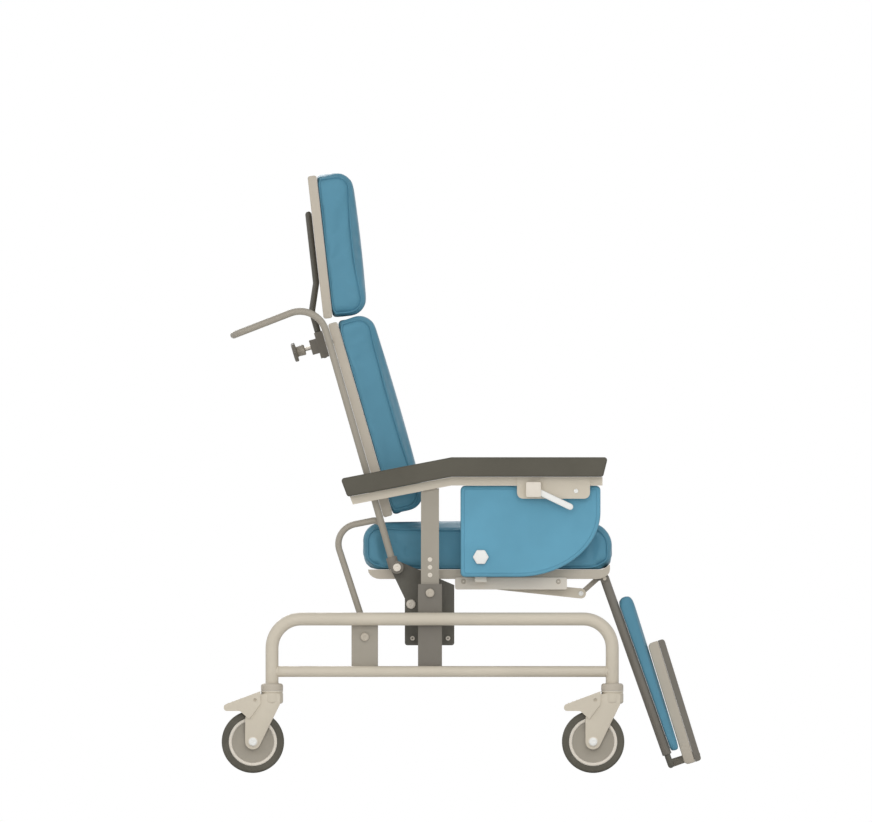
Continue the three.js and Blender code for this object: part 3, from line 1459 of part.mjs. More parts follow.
// Foot slide: the inner tubes, the bar between their ends, and two arms to the foot board's hinge
function footSlide() {
  const tubes = [-1, 1].map((side) =>
    upright(0, side * legHalf, footTubeRadius, -footTubeEnd, -footTubeTop),
  );
  const bar = pin(0, footBarZ, footTubeRadius, -legHalf, legHalf);
  const end = footPin();
  const rootX = footBracketHeight / 2 - footTubeRadius;
  const arms = [-1, 1].map((side) => {
    const across = span(side, footBracketY - footBracketHalf, footBracketY + footBracketHalf);
    const outline = bone(rootX, footBarZ, rootX + footTubeRadius, end.x, end.y, footKnuckleRadius);
    const arm = slab(outline, ...across);
    return cut(arm, pin(end.x, end.y, footPinRadius + play, across[0] - overrun, across[1] + overrun));
  });
  return join(...tubes, bar, ...arms);
}

// Cuts in the foot board's lower edge for the slide's arms, in the board's own frame
function footNotches() {
  const notchHalf = footBracketHalf + footNotchPlay;
  return [-1, 1].map((side) =>
    box(
      -overrun, footBoardThickness + fit + footBackingThickness + overrun,
      ...span(side, footBracketY - notchHalf, footBracketY + notchHalf),
      -overrun, footPinZ + footBracketHeight / 2 + 2 * footNotchPlay,
    ),
  );
}

function footBoard() {
  const outline = rounded([
    [0, 0, footBoardCorner],
    [footBoardThickness, 0],
    [footBoardThickness, footBoardLength],
    [0, footBoardLength, footBoardCorner],
  ], 4);
  return cut(slab(outline, -footBoardHalf, footBoardHalf), ...footNotches());
}

function footBacking() {
  const rear = footBoardThickness + fit;
  const outline = rounded([
    [rear, 0],
    [rear + footBackingThickness, 0, footBackingCorner],
    [rear + footBackingThickness, footBoardLength, footBackingCorner],
    [rear, footBoardLength],
  ], 4);
  const body = cut(slab(outline, -footBoardHalf, footBoardHalf), ...footNotches());
  const pins = [-1, 1].map((side) =>
    pin(footPinX, footPinZ, footPinRadius,
      ...span(side, footBracketY - 2 * footBracketHalf, footBracketY + 2 * footBracketHalf)),
  );
  return join(body, ...pins);
}

// Base
const hands = { left: 1, right: -1 };
for (const [hand, side] of Object.entries(hands)) {
  place(chair, "side_frame_" + hand, sideFrame(side), frameCream);
  place(chair, "pillar_" + hand, pillar(side), slateGrey);
  place(chair, "rear_post_" + hand, rearPost(side), tubeGrey);
  const guide = frameAt(chair, postX, guideZ, -hoopLean);
  place(guide, "swivel_guide_" + hand, swivelGuide(side), tubeGrey);
}
place(chair, "rear_cross_tube", rearCross(), frameCream);
place(chair, "front_cross_tube", frontCross(), frameCream);

// Casters
const forkShape = casterFork();
const wheelShape = casterWheel();
const pedalShape = brakePedal();
for (const [end, x] of Object.entries({ front: frontStemX, rear: rearStemX })) {
  for (const [hand, side] of Object.entries(hands)) {
    const caster = new THREE.Group();
    caster.position.set(x, side * trackHalf, 0);
    chair.add(caster);
    place(caster, `caster_fork_${end}_${hand}`, forkShape, frameCream);
    place(caster, `caster_wheel_${end}_${hand}`, wheelShape, darkGrey);
    place(caster, `brake_pedal_${end}_${hand}`, pedalShape, frameCream);
  }
}

// Seat
place(chair, "seat_tray", seatTray(), boardGrey);
place(chair, "seat_cushion", seatCushion(), cushionBlue);
place(chair, "spring_channel", springChannel(), darkGrey);
for (const [hand, side] of Object.entries(hands)) {
  place(chair, "side_plate_" + hand, sidePlate(side), darkGrey);
  place(chair, "seat_rail_" + hand, seatRail(side), railCream);
  place(chair, "hoop_" + hand, hoop(side), tubeGrey);
  place(chair, "arm_upright_" + hand, armUpright(side), tubeGrey);
}
const spring = frameAt(chair, springRear.x, springRear.y, -springLine.angle());
place(spring, "gas_spring_cylinder", springCylinder(), darkGrey);
place(spring, "gas_spring_rod", springRod(), railCream);

// Back and headrest
const back = frameAt(chair, reclineX, reclineZ, -backLean);
place(back, "back_frame", backFrame(), tubeGrey);
place(back, "back_board", backBoard(), boardGrey);
const backPad = paddedFace(boardX + boardThickness + fit, backBottomZ, backTopZ, seatHalf - 2 * fit);
place(back, "back_cushion", backPad, cushionBlue);
place(back, "headrest_clamp", headrestClamp(), slateGrey);
place(back, "clamp_knob", clampKnob(), tubeGrey);
place(back, "headrest_bar", headrestBar(), darkGrey);
const head = frameAt(back, headRearX, headBottomZ, headTurn);
place(head, "headrest_board", headrestBoard(), boardGrey);
const headCushion = paddedFace(headBoardThickness + fit, 0, headHeight, headrestHalf);
place(head, "headrest_cushion", headCushion, cushionBlue);

// Arms
for (const [hand, side] of Object.entries(hands)) {
  place(chair, "arm_pad_" + hand, armPad(side), darkGrey);
  place(chair, "arm_bracket_" + hand, armBracket(side), frameCream);
  place(chair, "release_lever_" + hand, releaseLever(side), knobWhite);
  place(chair, "side_panel_" + hand, sidePanel(side), panelBlue);
  place(chair, "hex_knob_" + hand, hexKnob(side), knobWhite);
}

// Leg rest
const leg = frameAt(chair, legX, legZ, -legLean);
place(leg, "leg_frame", legFrame(), slateGrey);
place(leg, "calf_pad", calfPad(), cushionBlue);
place(leg, "foot_slide", footSlide(), darkGrey);
const foot = frameAt(leg, footBoardX, footBoardZ, footBoardTurn);
place(foot, "foot_board", footBoard(), boardGrey);
place(foot, "foot_backing", footBacking(), slateGrey);
place(chair, "leg_links", linkPair(), frameCream);
place(chair, "leg_rods", rodPair(), tubeGrey);

export default whole;
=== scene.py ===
import json
import math

import bmesh
import bpy
import numpy as np
from mathutils import Matrix, Vector
from mathutils.bvhtree import BVHTree
from mathutils.geometry import convex_hull_2d
from mathutils.kdtree import KDTree

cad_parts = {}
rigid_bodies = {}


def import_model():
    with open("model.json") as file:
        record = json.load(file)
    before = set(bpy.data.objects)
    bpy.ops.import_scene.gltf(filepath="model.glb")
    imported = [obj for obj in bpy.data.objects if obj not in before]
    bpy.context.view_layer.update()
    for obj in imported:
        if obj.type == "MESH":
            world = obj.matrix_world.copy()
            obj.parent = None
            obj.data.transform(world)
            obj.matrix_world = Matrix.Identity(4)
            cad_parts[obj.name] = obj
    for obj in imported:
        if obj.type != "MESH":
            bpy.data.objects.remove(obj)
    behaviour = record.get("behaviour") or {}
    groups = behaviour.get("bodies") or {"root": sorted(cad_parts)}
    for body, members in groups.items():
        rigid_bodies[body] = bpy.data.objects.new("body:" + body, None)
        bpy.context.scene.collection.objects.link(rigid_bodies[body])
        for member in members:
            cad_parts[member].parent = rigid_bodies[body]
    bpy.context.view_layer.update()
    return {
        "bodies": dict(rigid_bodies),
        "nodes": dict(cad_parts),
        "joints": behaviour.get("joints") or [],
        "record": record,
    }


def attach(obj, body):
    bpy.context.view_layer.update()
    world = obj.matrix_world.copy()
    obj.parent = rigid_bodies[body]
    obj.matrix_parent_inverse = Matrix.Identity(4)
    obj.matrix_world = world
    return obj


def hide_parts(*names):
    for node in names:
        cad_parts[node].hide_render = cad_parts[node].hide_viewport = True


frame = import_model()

# Sizes below are millimetres in the chair's own datum frame, as in the CAD; MM turns them into metres.
MM = 0.001
DATUM_X = 9.5
SIDES = {"left": 1, "right": -1}
SMOOTH_ANGLE = math.radians(32)
SHARP_ANGLE = math.radians(28)
PHOTO_WIDTH, PHOTO_HEIGHT, ORIGIN_PIXEL, PIXEL = 872, 822, (461, 773), 2 * MM
DOME_ANGLES = [math.radians(15 * k) for k in range(1, 7)]
ROOM_LIGHT = 0.43
WELT_RADIUS = 2.1
WELT_REACH = 0.05  # metres outside a pad's corner from which its seam is looked for
PAD_FOOT_SHARE = 0.2  # how far a pad's lower edge lifts for each millimetre its upper edge drops

# Base frame
REAR_STEM_X, FRONT_STEM_X = -387.5, 293
TRACK_HALF = 318
RAIL_RADIUS, LOWER_RADIUS, CROSS_RADIUS = 13, 11, 11
TOP_RAIL_Z, LOWER_RAIL_Z = 308, 203
FRAME_BEND = 58
CASTER_HEIGHT, COLLAR_HEIGHT, COLLAR_RADIUS = 164, 15, 22.2
REAR_CROSS_X, FRONT_CROSS_X = -331.5, 250
TILT = (-71.5, 360)
GUIDE = (-202, 272)

# Casters
TRAIL, WHEEL_RADIUS, WHEEL_HALF = 38.2, 62.5, 13
NECK_X, HEAD_HEIGHT = 16.5, 25.5
BOSS_RADIUS, CHEEK_INNER, CHEEK_OUTER = 15.5, 16, 20

# Gas spring
SPRING_EYE_X, SPRING_EYE_RADIUS, SPRING_EYE_HALF = REAR_CROSS_X + 26, 11, 8
SPRING_ARM, SPRING_ARM_ANGLE, SPRING_EYE_DROP = 60, math.radians(25), 1.1
LUG_INNER, LUG_OUTER = 8.3, 12.3

# Seat and its hoops
TRAY_TOP = 407
PLATE_OUTER = 228.3
POST_OUTER = 308
CUSHION_HALF, HEAD_HALF, CALF_HALF, PAD_GAP = 221.4, 180, 212, 0.3
HOOP_Y, HOOP_RADIUS = 238, 6.5
HOOP_TOP, EYE_RADIUS, EYE_BORE = (-266.7, 488.6), 13, 6.5
RECLINE = (-137.5, 411)
BACK_LEAN, HOOP_LEAN = math.radians(16.1), math.radians(18.1)

# Back, headrest, arms and leg rest
BACK_Y, BACK_RADIUS, BACK_TUBE_X = 256, 7, -5.4
UPPER_CROSS_Z, LOWER_CROSS_Z = 470, 170
BAR_RADIUS, BAR_SETBACK = 6.4, 21.4
KNOB_X = BACK_TUBE_X - 38.3
ARM_BEND_X, ARM_TOP, ARM_THICKNESS, ARM_SLOPE = -28.5, 631.6, 39.3, math.radians(10.9)
PANEL_KNOB, PANEL_INNER, PANEL_OUTER = (30.1, 432), 266, 290
HEAD = (-3.2, 518.5)
HEAD_HEIGHT_Z = 287
HEAD_TURN = math.radians(9.65)
LEG = (277.7, 389)
LEG_LEAN = math.radians(19.55)
LEG_Y, LEG_RADIUS, LEG_LENGTH = 200, 9.4, 374
FOOT_RADIUS, FOOT_BAR_Z = 6.1, -392.7
FOOT = (26.6, -405.5)
FOOT_TURN = math.radians(2.34)


# Frames: each turns millimetres of its own into metres of the shared frame
def shifted(x, z, y=0):
    return Matrix.Translation((x, y, z))


def turned(angle):
    return Matrix.Rotation(angle, 4, "Y")


CHAIR = Matrix.Scale(MM, 4) @ shifted(DATUM_X, 0)
BACK = CHAIR @ shifted(*RECLINE) @ turned(-BACK_LEAN)
HEADREST = BACK @ shifted(*HEAD) @ turned(HEAD_TURN)
LEG_REST = CHAIR @ shifted(*LEG) @ turned(-LEG_LEAN)


# Colours, written as they show on screen, and turned to linear light
def screen(red, green, blue):
    def linear(value):
        share = value / 255
        return share / 12.92 if share <= 0.04045 else ((share + 0.055) / 1.055) ** 2.4

    return (linear(red), linear(green), linear(blue), 1)


BLUE = screen(87, 140, 162)
PANEL_BLUE = screen(99, 159, 184)
BOARD = screen(186, 177, 162)
CREAM = screen(203, 194, 177)
PALE = screen(221, 213, 200)
TUBE = screen(157, 150, 137)
SLATE = screen(116, 111, 102)
DARK = screen(92, 89, 80)
WHITE = screen(235, 235, 231)


class Surface:
    """Builds one procedural material, with its detail in the object's own coordinates."""

    def __init__(self, name, colour, roughness, metallic=0.0):
        self.material = bpy.data.materials.new(name)
        self.material.use_nodes = True
        self.tree = self.material.node_tree
        self.shader = self.tree.nodes["Principled BSDF"]
        self.shader.inputs["Metallic"].default_value = metallic
        self.colour = colour
        self.roughness = roughness
        self.place = self.node("ShaderNodeTexCoord").outputs["Object"]
        self.height = None

    def node(self, kind, **settings):
        made = self.tree.nodes.new(kind)
        for name, value in settings.items():
            setattr(made, name, value)
        return made

    def link(self, source, target):
        self.tree.links.new(source, target)

    def pair(self, kind, operation, first, second):
        made = self.node(kind, operation=operation)
        self.link(first, made.inputs[0])
        self.link(second, made.inputs[1])
        return made.outputs["Value"]

    def noise(self, scale, detail, stretch=None):
        made = self.node("ShaderNodeTexNoise")
        for name, number in {"Scale": scale, "Detail": detail, "Roughness": 0.55}.items():
            made.inputs[name].default_value = number
        place = self.place
        if stretch:
            mapping = self.node("ShaderNodeMapping")
            mapping.inputs["Scale"].default_value = stretch
            self.link(place, mapping.inputs["Vector"])
            place = mapping.outputs["Vector"]
        self.link(place, made.inputs["Vector"])
        return made.outputs["Fac"]

    def cells(self, scale, feature="F1"):
        made = self.node("ShaderNodeTexVoronoi", feature=feature)
        made.inputs["Scale"].default_value = scale
        self.link(self.place, made.inputs["Vector"])
        return made.outputs["Distance"]

    def spread(self, value, low, high, out_low=0.0, out_high=1.0):
        made = self.node("ShaderNodeMapRange")
        limits = {"From Min": low, "From Max": high, "To Min": out_low, "To Max": out_high}
        for name, number in limits.items():
            made.inputs[name].default_value = number
        self.link(value, made.inputs["Value"])
        return made.outputs["Result"]

    def mix(self, factor, first, second):
        made = self.node("ShaderNodeMix", data_type="RGBA")
        self.link(factor, made.inputs[0])
        for socket, value in ((made.inputs[6], first), (made.inputs[7], second)):
            if isinstance(value, tuple):
                socket.default_value = value
            else:
                self.link(value, socket)
        return made.outputs[2]

    def tone(self, amount):
        """The colour, varied softly over the piece and in fine mottling."""
        dark = tuple(c * (1 - amount) for c in self.colour[:3]) + (1,)
        light = tuple(min(1, c * (1 + amount)) for c in self.colour[:3]) + (1,)
        broad = self.spread(self.noise(7.0, 3.0), 0.35, 0.65)
        self.out = self.mix(broad, dark, light)
        return self

    def edges(self, radius, strength, worn):
        """Wear along edges: where a rounded normal departs from the true one."""
        bevel = self.node("ShaderNodeBevel", samples=4)
        bevel.inputs["Radius"].default_value = radius
        normal = self.node("ShaderNodeNewGeometry").outputs["Normal"]
        dot = self.pair("ShaderNodeVectorMath", "DOT_PRODUCT", bevel.outputs["Normal"], normal)
        rim = self.spread(dot, 0.98, 0.75, 0.0, strength)
        broken = self.spread(self.noise(90.0, 5.0), 0.4, 0.62)
        product = self.pair("ShaderNodeMath", "MULTIPLY", rim, broken)
        self.out = self.mix(product, self.out, worn)
        return self

    def bump(self, height, strength, distance):
        made = self.node("ShaderNodeBump")
        made.inputs["Strength"].default_value = strength
        made.inputs["Distance"].default_value = distance
        self.link(height, made.inputs["Height"])
        if self.height is not None:
            self.link(self.height, made.inputs["Normal"])
        self.height = made.outputs["Normal"]
        return self

    def sheen(self, level):
        self.shader.inputs["Specular IOR Level"].default_value = level
        return self

    def done(self, spread, scale):
        low, high = self.roughness - spread, self.roughness + spread
        rough = self.spread(self.noise(scale, 3.0), 0.3, 0.7, low, high)
        self.link(rough, self.shader.inputs["Roughness"])
        self.link(self.out, self.shader.inputs["Base Color"])
        if self.height is not None:
            self.link(self.height, self.shader.inputs["Normal"])
        return self.material


def vinyl(name, colour):
    made = Surface(name, colour, 0.5).tone(0.05)
    grain = made.cells(620.0)
    creases = made.cells(260.0, "DISTANCE_TO_EDGE")
    made.bump(made.spread(creases, 0.0, 0.25), 0.16, 0.0003)
    made.bump(grain, 0.22, 0.00018)
    return made.sheen(0.28).done(0.07, 30.0)


def paint(name, colour, roughness=0.42):
    made = Surface(name, colour, roughness).tone(0.03)
    lighter = tuple(min(1, c * 1.35) for c in colour[:3]) + (1,)
    made.edges(0.0012, 0.5, lighter)
    made.bump(made.noise(900.0, 2.0), 0.12, 0.00012)
    made.bump(made.noise(160.0, 2.0), 0.06, 0.0003)
    return made.done(0.07, 60.0)


def moulded(name, colour, roughness=0.48):
    made = Surface(name, colour, roughness).tone(0.025)
    made.bump(made.noise(1500.0, 2.0), 0.2, 0.0001)
    return made.done(0.05, 80.0)


def foam_skin(name, colour):
    made = Surface(name, colour, 0.7).tone(0.07)
    made.bump(made.noise(420.0, 6.0), 0.3, 0.0003)
    made.bump(made.cells(900.0), 0.15, 0.00015)
    return made.sheen(0.1).done(0.08, 50.0)


def tread_rubber(name, colour):
    made = Surface(name, colour, 0.72).tone(0.1)
    dust = made.spread(made.noise(24.0, 5.0), 0.5, 0.75, 0.0, 0.14)
    made.out = made.mix(dust, made.out, screen(138, 132, 120))
    made.bump(made.noise(700.0, 4.0), 0.35, 0.0002)
    return made.sheen(0.25).done(0.1, 60.0)


def bright_metal(name, colour, roughness=0.3):
    made = Surface(name, colour, roughness, 0.85).tone(0.04)
    brushed = made.noise(60.0, 3.0, (1.0, 1.0, 24.0))
    made.bump(brushed, 0.08, 0.0001)
    return made.done(0.06, 90.0)


MATERIALS = {
    "cushion": vinyl("cushion_vinyl", BLUE),
    "panel": vinyl("panel_vinyl", PANEL_BLUE),
    "welt": vinyl("welt_vinyl", tuple(c * 0.9 for c in BLUE[:3]) + (1,)),
    "panel_welt": vinyl("panel_welt_vinyl", tuple(c * 0.92 for c in PANEL_BLUE[:3]) + (1,)),
    "board": moulded("board_shell", BOARD, 0.4),
    "cream": paint("cream_powder_coat", CREAM),
    "pale": paint("pale_powder_coat", PALE),
    "tube": paint("tube_satin_coat", TUBE, 0.38),
    "slate": paint("slate_satin_coat", SLATE, 0.45),
    "dark": paint("dark_satin_coat", DARK, 0.45),
    "foam": foam_skin("arm_foam_skin", DARK),
    "tyre": tread_rubber("tyre_rubber", DARK),
    "knob": moulded("knob_plastic", WHITE, 0.42),
    "bolt": bright_metal("bolt_zinc", screen(221, 213, 200), 0.36),
    "rod": bright_metal("rod_chrome", screen(214, 214, 212), 0.18),
}


# Mesh tools. A piece's kit is its frame, its material and its body.
def piece(name, vertices, faces, frame, material, body, slot=None, replaces=()):
    mesh = bpy.data.meshes.new(name)
    mesh.from_pydata([frame @ Vector(v) for v in vertices], [], faces)
    mesh.validate()
    mesh.materials.append(MATERIALS[material])
    tidy_normals(mesh)
    made = add_object(name, mesh)
    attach(made, body)
    if replaces:
        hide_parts(*replaces)
    return made


def add_object(name, data):
    made = bpy.data.objects.new(name, data)
    bpy.context.scene.collection.objects.link(made)
    return made


def tidy_normals(mesh, angle=SMOOTH_ANGLE):
    shell = bmesh.new()
    shell.from_mesh(mesh)
    bmesh.ops.recalc_face_normals(shell, faces=shell.faces)
    shell.to_mesh(mesh)
    shell.free()
    mesh.shade_smooth()
    mesh.set_sharp_from_angle(angle=angle)


def rows_of_faces(rows, count):
    """Faces of a loft: rows of points joined each to the next, and the first and the last row filled."""
    faces = []
    for row in range(rows - 1):
        for k in range(count):
            a, b = row * count + k, row * count + (k + 1) % count
            faces.append((a, b, b + count, a + count))
    return faces + [list(range(count)), list(range((rows - 1) * count, rows * count))]


def span(side, inner, outer):
    return (inner, outer) if side > 0 else (-outer, -inner)


def arc(x, z, reach_x, reach_z, start, end, steps=12):
    angles = [start + (end - start) * i / steps for i in range(steps + 1)]
    return [(x + reach_x * math.cos(a), z + reach_z * math.sin(a)) for a in angles]


def rounded(corners, steps=8):
    """Polygon corners (x, z, radius) with each one rounded as far as its edges allow."""
    places = [Vector(c[:2]) for c in corners]
    outline = []
    for i, corner in enumerate(corners):
        radius = corner[2] if len(corner) > 2 else 0
        here = places[i]
        if not radius:
            outline.append(tuple(here))
            continue
        back = places[i - 1] - here
        ahead = places[(i + 1) % len(places)] - here
        half = back.angle(ahead) / 2
        reach = min(radius / math.tan(half), back.length / 2, ahead.length / 2)
        back.normalize()
        ahead.normalize()
        centre = here + (back + ahead).normalized() * reach / math.cos(half)
        spoke = here + back * reach - centre
        turn = math.copysign(math.pi - 2 * half, ahead.x * back.y - ahead.y * back.x)
        for k in range(steps + 1):
            point = centre + Matrix.Rotation(turn * k / steps, 2) @ spoke
            outline.append(tuple(point))
    return outline


def rectangle(x_from, x_to, z_from, z_to, corner):
    return rounded([(x_from, z_from, corner), (x_to, z_from, corner), (x_to, z_to, corner),
                    (x_from, z_to, corner)])


def bone(x1, z1, radius1, x2, z2, radius2, steps=16):
    along = math.atan2(z2 - z1, x2 - x1)
    open_angle = math.acos((radius1 - radius2) / math.hypot(x2 - x1, z2 - z1))
    return arc(x1, z1, radius1, radius1, along + open_angle, along + 2 * math.pi - open_angle, steps) + arc(
        x2, z2, radius2, radius2, along - open_angle, along + open_angle, steps
    )


def prism(name, outline, y_from, y_to, *kit, edge=0.8, rows=2, **kept):
    """A plate: an outline in the side view drawn out across the chair, with its rims rounded."""
    vertices = [(x, y, z) for y in (y_from, y_to) for x, z in outline]
    made = piece(name, vertices, rows_of_faces(2, len(outline)), *kit, **kept)
    if edge:
        shell = bmesh.new()
        shell.from_mesh(made.data)
        rims = [e for e in shell.edges if len(e.link_faces) == 2 and e.calc_face_angle(0) > SHARP_ANGLE]
        bmesh.ops.bevel(shell, geom=rims, offset=edge * MM, segments=rows, profile=0.5, affect="EDGES",
                        clamp_overlap=True)
        shell.to_mesh(made.data)
        shell.free()
        tidy_normals(made.data)
    return made


def lathe(name, profile, at, axis, *kit, sides=64, **kept):
    """A turned piece: (radius, along) points swung round the X, Y or Z direction through a point."""
    along, first, second = {"X": (0, 1, 2), "Y": (1, 2, 0), "Z": (2, 0, 1)}[axis]
    vertices, rings, faces = [], [], []
    for radius, reach in profile:
        ring = []
        for k in range(sides if radius > 0 else 1):
            angle = 2 * math.pi * k / sides
            place = list(at)
            place[along] += reach
            place[first] += radius * math.cos(angle)
            place[second] += radius * math.sin(angle)
            ring.append(len(vertices))
            vertices.append(place)
        rings.append(ring)
    for a, b in zip(rings, rings[1:]):
        for k in range(sides):
            corners = [a[k % len(a)], a[(k + 1) % len(a)], b[(k + 1) % len(b)], b[k % len(b)]]
            corners = list(dict.fromkeys(corners))
            if len(corners) > 2:
                faces.append(corners)
    return piece(name, vertices, faces, *kit, **kept)


def disc_profile(radius, start, end, edge):
    """Half the section of a round bar with eased ends."""
    rim = eased_rim(radius, edge)
    side = [(out, start + up) for out, up in rim] + [(out, end - up) for out, up in reversed(rim)]
    return [(0, start)] + side + [(0, end)]


def eased_rim(radius, edge):
    """From a round end to its side: how far out, and how far from the end."""
    near = edge * 0.3
    return [(radius - edge, 0), (radius - near, near), (radius, edge)]


def bent_path(places, bends, step=math.radians(6)):
    """Points and headings along straight runs joined by round bends."""
    places = [Vector(p) for p in places]
    headings = [(b - a).normalized() for a, b in zip(places, places[1:])]
    path = [(places[0], headings[0])]
    for corner, radius, before, after in zip(places[1:], bends, headings, headings[1:]):
        turn = before.angle(after)
        axis = before.cross(after).normalized()
        inward = axis.cross(before)
        centre = corner - before * radius * math.tan(turn / 2) + inward * radius
        steps = max(2, math.ceil(turn / step))
        for k in range(steps + 1):
            spin = Matrix.Rotation(turn * k / steps, 3, axis)
            path.append((centre + spin @ (inward * -radius), spin @ before))
    path.append((places[-1], headings[-1]))
    return path


def tube(name, places, bends, radius, *kit, sides=28, edge=1.2, dome=False, **kept):
    """A round tube along a bent path, with eased or domed ends."""
    path = bent_path(places, bends)
    heading = path[0][1]
    across = heading.orthogonal().normalized()
    caps = eased_rim(radius, edge)
    if dome:
        caps = [(radius * math.sin(a), radius - radius * math.cos(a)) for a in DOME_ANGLES]
    stations = [(path[0][0] + heading * reach, heading, size) for size, reach in caps]
    stations += [(p, t, radius) for p, t in path[1:-1]]
    last, final = path[-1]
    stations += [(last - final * reach, final, size) for size, reach in reversed(caps)]
    vertices = []
    for point, direction, size in stations:
        across = (across - direction * across.dot(direction)).normalized()
        other = direction.cross(across)
        for k in range(sides):
            angle = 2 * math.pi * k / sides
            vertices.append(point + across * size * math.cos(angle) + other * size * math.sin(angle))
    return piece(name, vertices, rows_of_faces(len(stations), sides), *kit, **kept)


def hexagon(x, z, flats):
    radius = flats / math.sqrt(3)
    return arc(x, z, radius, radius, 0, 2 * math.pi, 6)[:-1]


def bolt(name, x, z, side, y, rise, radius, *kit):
    """A round bolt head, domed on its outer face, with a shallow round socket sunk in it."""
    shares = [(0, 0.72), (0.3, 0.72), (0.38, 0.97), (0.5, 1), (0.84, 0.86), (0.97, 0.55), (1, 0.3), (1, 0)]
    profile = [(radius * out, side * rise * up) for out, up in shares] + [(0, 0)]
    return lathe(name, profile, (x, side * y, z), "Y", *kit, sides=36)


def weld(name, x, z, radius, y, *kit, axis="Y", sag=2.2):
    """The bead round a tube where it is welded to another."""
    root, flank = (radius - 0.5, sag), (radius + sag * 0.45, sag / 2)
    profile = [(root[0], -sag), (flank[0], -sag / 2), (radius + sag * 0.6, 0), flank, root]
    return lathe(name, profile, (x, y, z), axis, *kit, sides=36)


# Bolt heads: name, place in the side view, face each sits on, rise, radius, material and body
BOLT_HEADS = [
    ("tilt_bolt_", *TILT, POST_OUTER, 3.0, 8.6, "board", "base"),
    ("guide_bolt_", *GUIDE, POST_OUTER, 3.0, 8.6, "board", "guide_"),
    ("rail_rivet_rear_", -4.5, 383, PLATE_OUTER, 2.0, 5, "board", "seat"),
    ("rail_rivet_front_", 185.5, 383, PLATE_OUTER, 2.0, 5, "board", "seat"),
    ("plate_bolt_", -109.5, 337.6, PLATE_OUTER, 4.2, 9.6, "pale", "seat"),
    ("plate_screw_rear_", -106.7, 269.4, PLATE_OUTER, 3.2, 4.8, "pale", "seat"),
    ("plate_screw_front_", -35.7, 269.4, PLATE_OUTER, 3.2, 4.8, "pale", "seat"),
    ("recline_bolt_", *RECLINE, 267.6, 4.6, 8.6, "pale", "seat"),
    *[(f"height_plug_{k}_", TILT[0], 395.9 + 15.5 * k, 295.6, 2.6, 4.9, "pale", "seat") for k in range(3)],
    ("bracket_screw_", 220.5, 564, 310, 2.4, 4.8, "knob", "arm_"),
    ("link_bolt_", 230.5, 359.2, 189.6, 2.0, 5, "knob", "leg_links"),
]


def bolt_heads(hand, side):
    for name, x, z, *head, material, body in BOLT_HEADS:
        rides = body + hand if body.endswith("_") else body
        bolt(name + hand, x, z, side, *head, CHAIR, material, rides)


# CAD nodes that stay as they are: what each starts with, its material and how far its edges are eased
CARRIED_OVER = (
    ("seat_tray", "board", 1.5), ("spring_channel", "dark", 1.0), ("side_plate_", "dark", 0.8),
    ("seat_rail_", "pale", 0.8), ("arm_upright_", "tube", 1.6), ("pillar_", "slate", 1.6),
    ("rear_post_", "tube", 1.6), ("swivel_guide_", "tube", 0.4), ("back_board", "board", 1.6),
    ("headrest_board", "board", 1.6), ("headrest_clamp", "slate", 1.2), ("arm_bracket_", "cream", 1.0),
    ("brake_pedal_", "cream", 1.2), ("leg_links", "cream", 1.0), ("leg_rods", "tube", 1.0),
    ("foot_board", "board", 2.0), ("foot_backing", "slate", 1.4),
)


def refine(made, material, width):
    """A carried-over CAD node: its flat faces joined, its edges eased and its material laid on."""
    made.data.materials.clear()
    made.data.materials.append(MATERIALS[material])
    made.modifiers.new("weld", "WELD").merge_threshold = 0.00002
    flats = made.modifiers.new("flats", "DECIMATE")
    flats.decimate_type = "DISSOLVE"
    flats.angle_limit = math.radians(1.5)
    ease = made.modifiers.new("ease", "BEVEL")
    ease.width = width * MM
    ease.segments = 2
    ease.limit_method = "ANGLE"
    ease.angle_limit = math.radians(30)
    made.modifiers.new("facing", "WEIGHTED_NORMAL").keep_sharp = True
    made.data.shade_smooth()


def carried_over():
    for start, material, width in CARRIED_OVER:
        for node, made in frame["nodes"].items():
            if node.startswith(start):
                refine(made, material, width)


# Base
def side_frame(hand, side):
    kit = (CHAIR, "cream", "base")
    y = side * TRACK_HALF
    low = CASTER_HEIGHT + COLLAR_HEIGHT / 2
    ends = [(REAR_STEM_X, low), (REAR_STEM_X, TOP_RAIL_Z), (FRONT_STEM_X, TOP_RAIL_Z), (FRONT_STEM_X, low)]
    places = [(x, y, z) for x, z in ends]
    tube("side_tube_" + hand, places, [FRAME_BEND, FRAME_BEND], RAIL_RADIUS, *kit,
         slot="frame_cream", replaces=["side_frame_" + hand])
    rail = [(REAR_STEM_X, y, LOWER_RAIL_Z), (FRONT_STEM_X, y, LOWER_RAIL_Z)]
    tube("lower_rail_" + hand, rail, [], LOWER_RADIUS, *kit, slot="frame_cream")
    lip, edge, gap, bite = 1.2, 5.5, 0.3, 1.4
    profile = [(0, 0), (COLLAR_RADIUS - 1, 0), (COLLAR_RADIUS, 1)]
    profile += arc(COLLAR_RADIUS - edge, COLLAR_HEIGHT - edge, edge, edge, 0, math.pi / 2, 8)
    top = COLLAR_HEIGHT + lip
    profile += [(RAIL_RADIUS + lip, COLLAR_HEIGHT), (RAIL_RADIUS, top), (0, top)]
    for end, x, inward in (("rear", REAR_STEM_X, 1), ("front", FRONT_STEM_X, -1)):
        bead_x = x + inward * (RAIL_RADIUS - bite)
        weld(f"rail_weld_{end}_{hand}", bead_x, LOWER_RAIL_Z, LOWER_RADIUS, y, *kit, axis="X")
        lathe(f"collar_{end}_{hand}", profile, (x, y, CASTER_HEIGHT + gap), "Z", CHAIR, "board", "base")


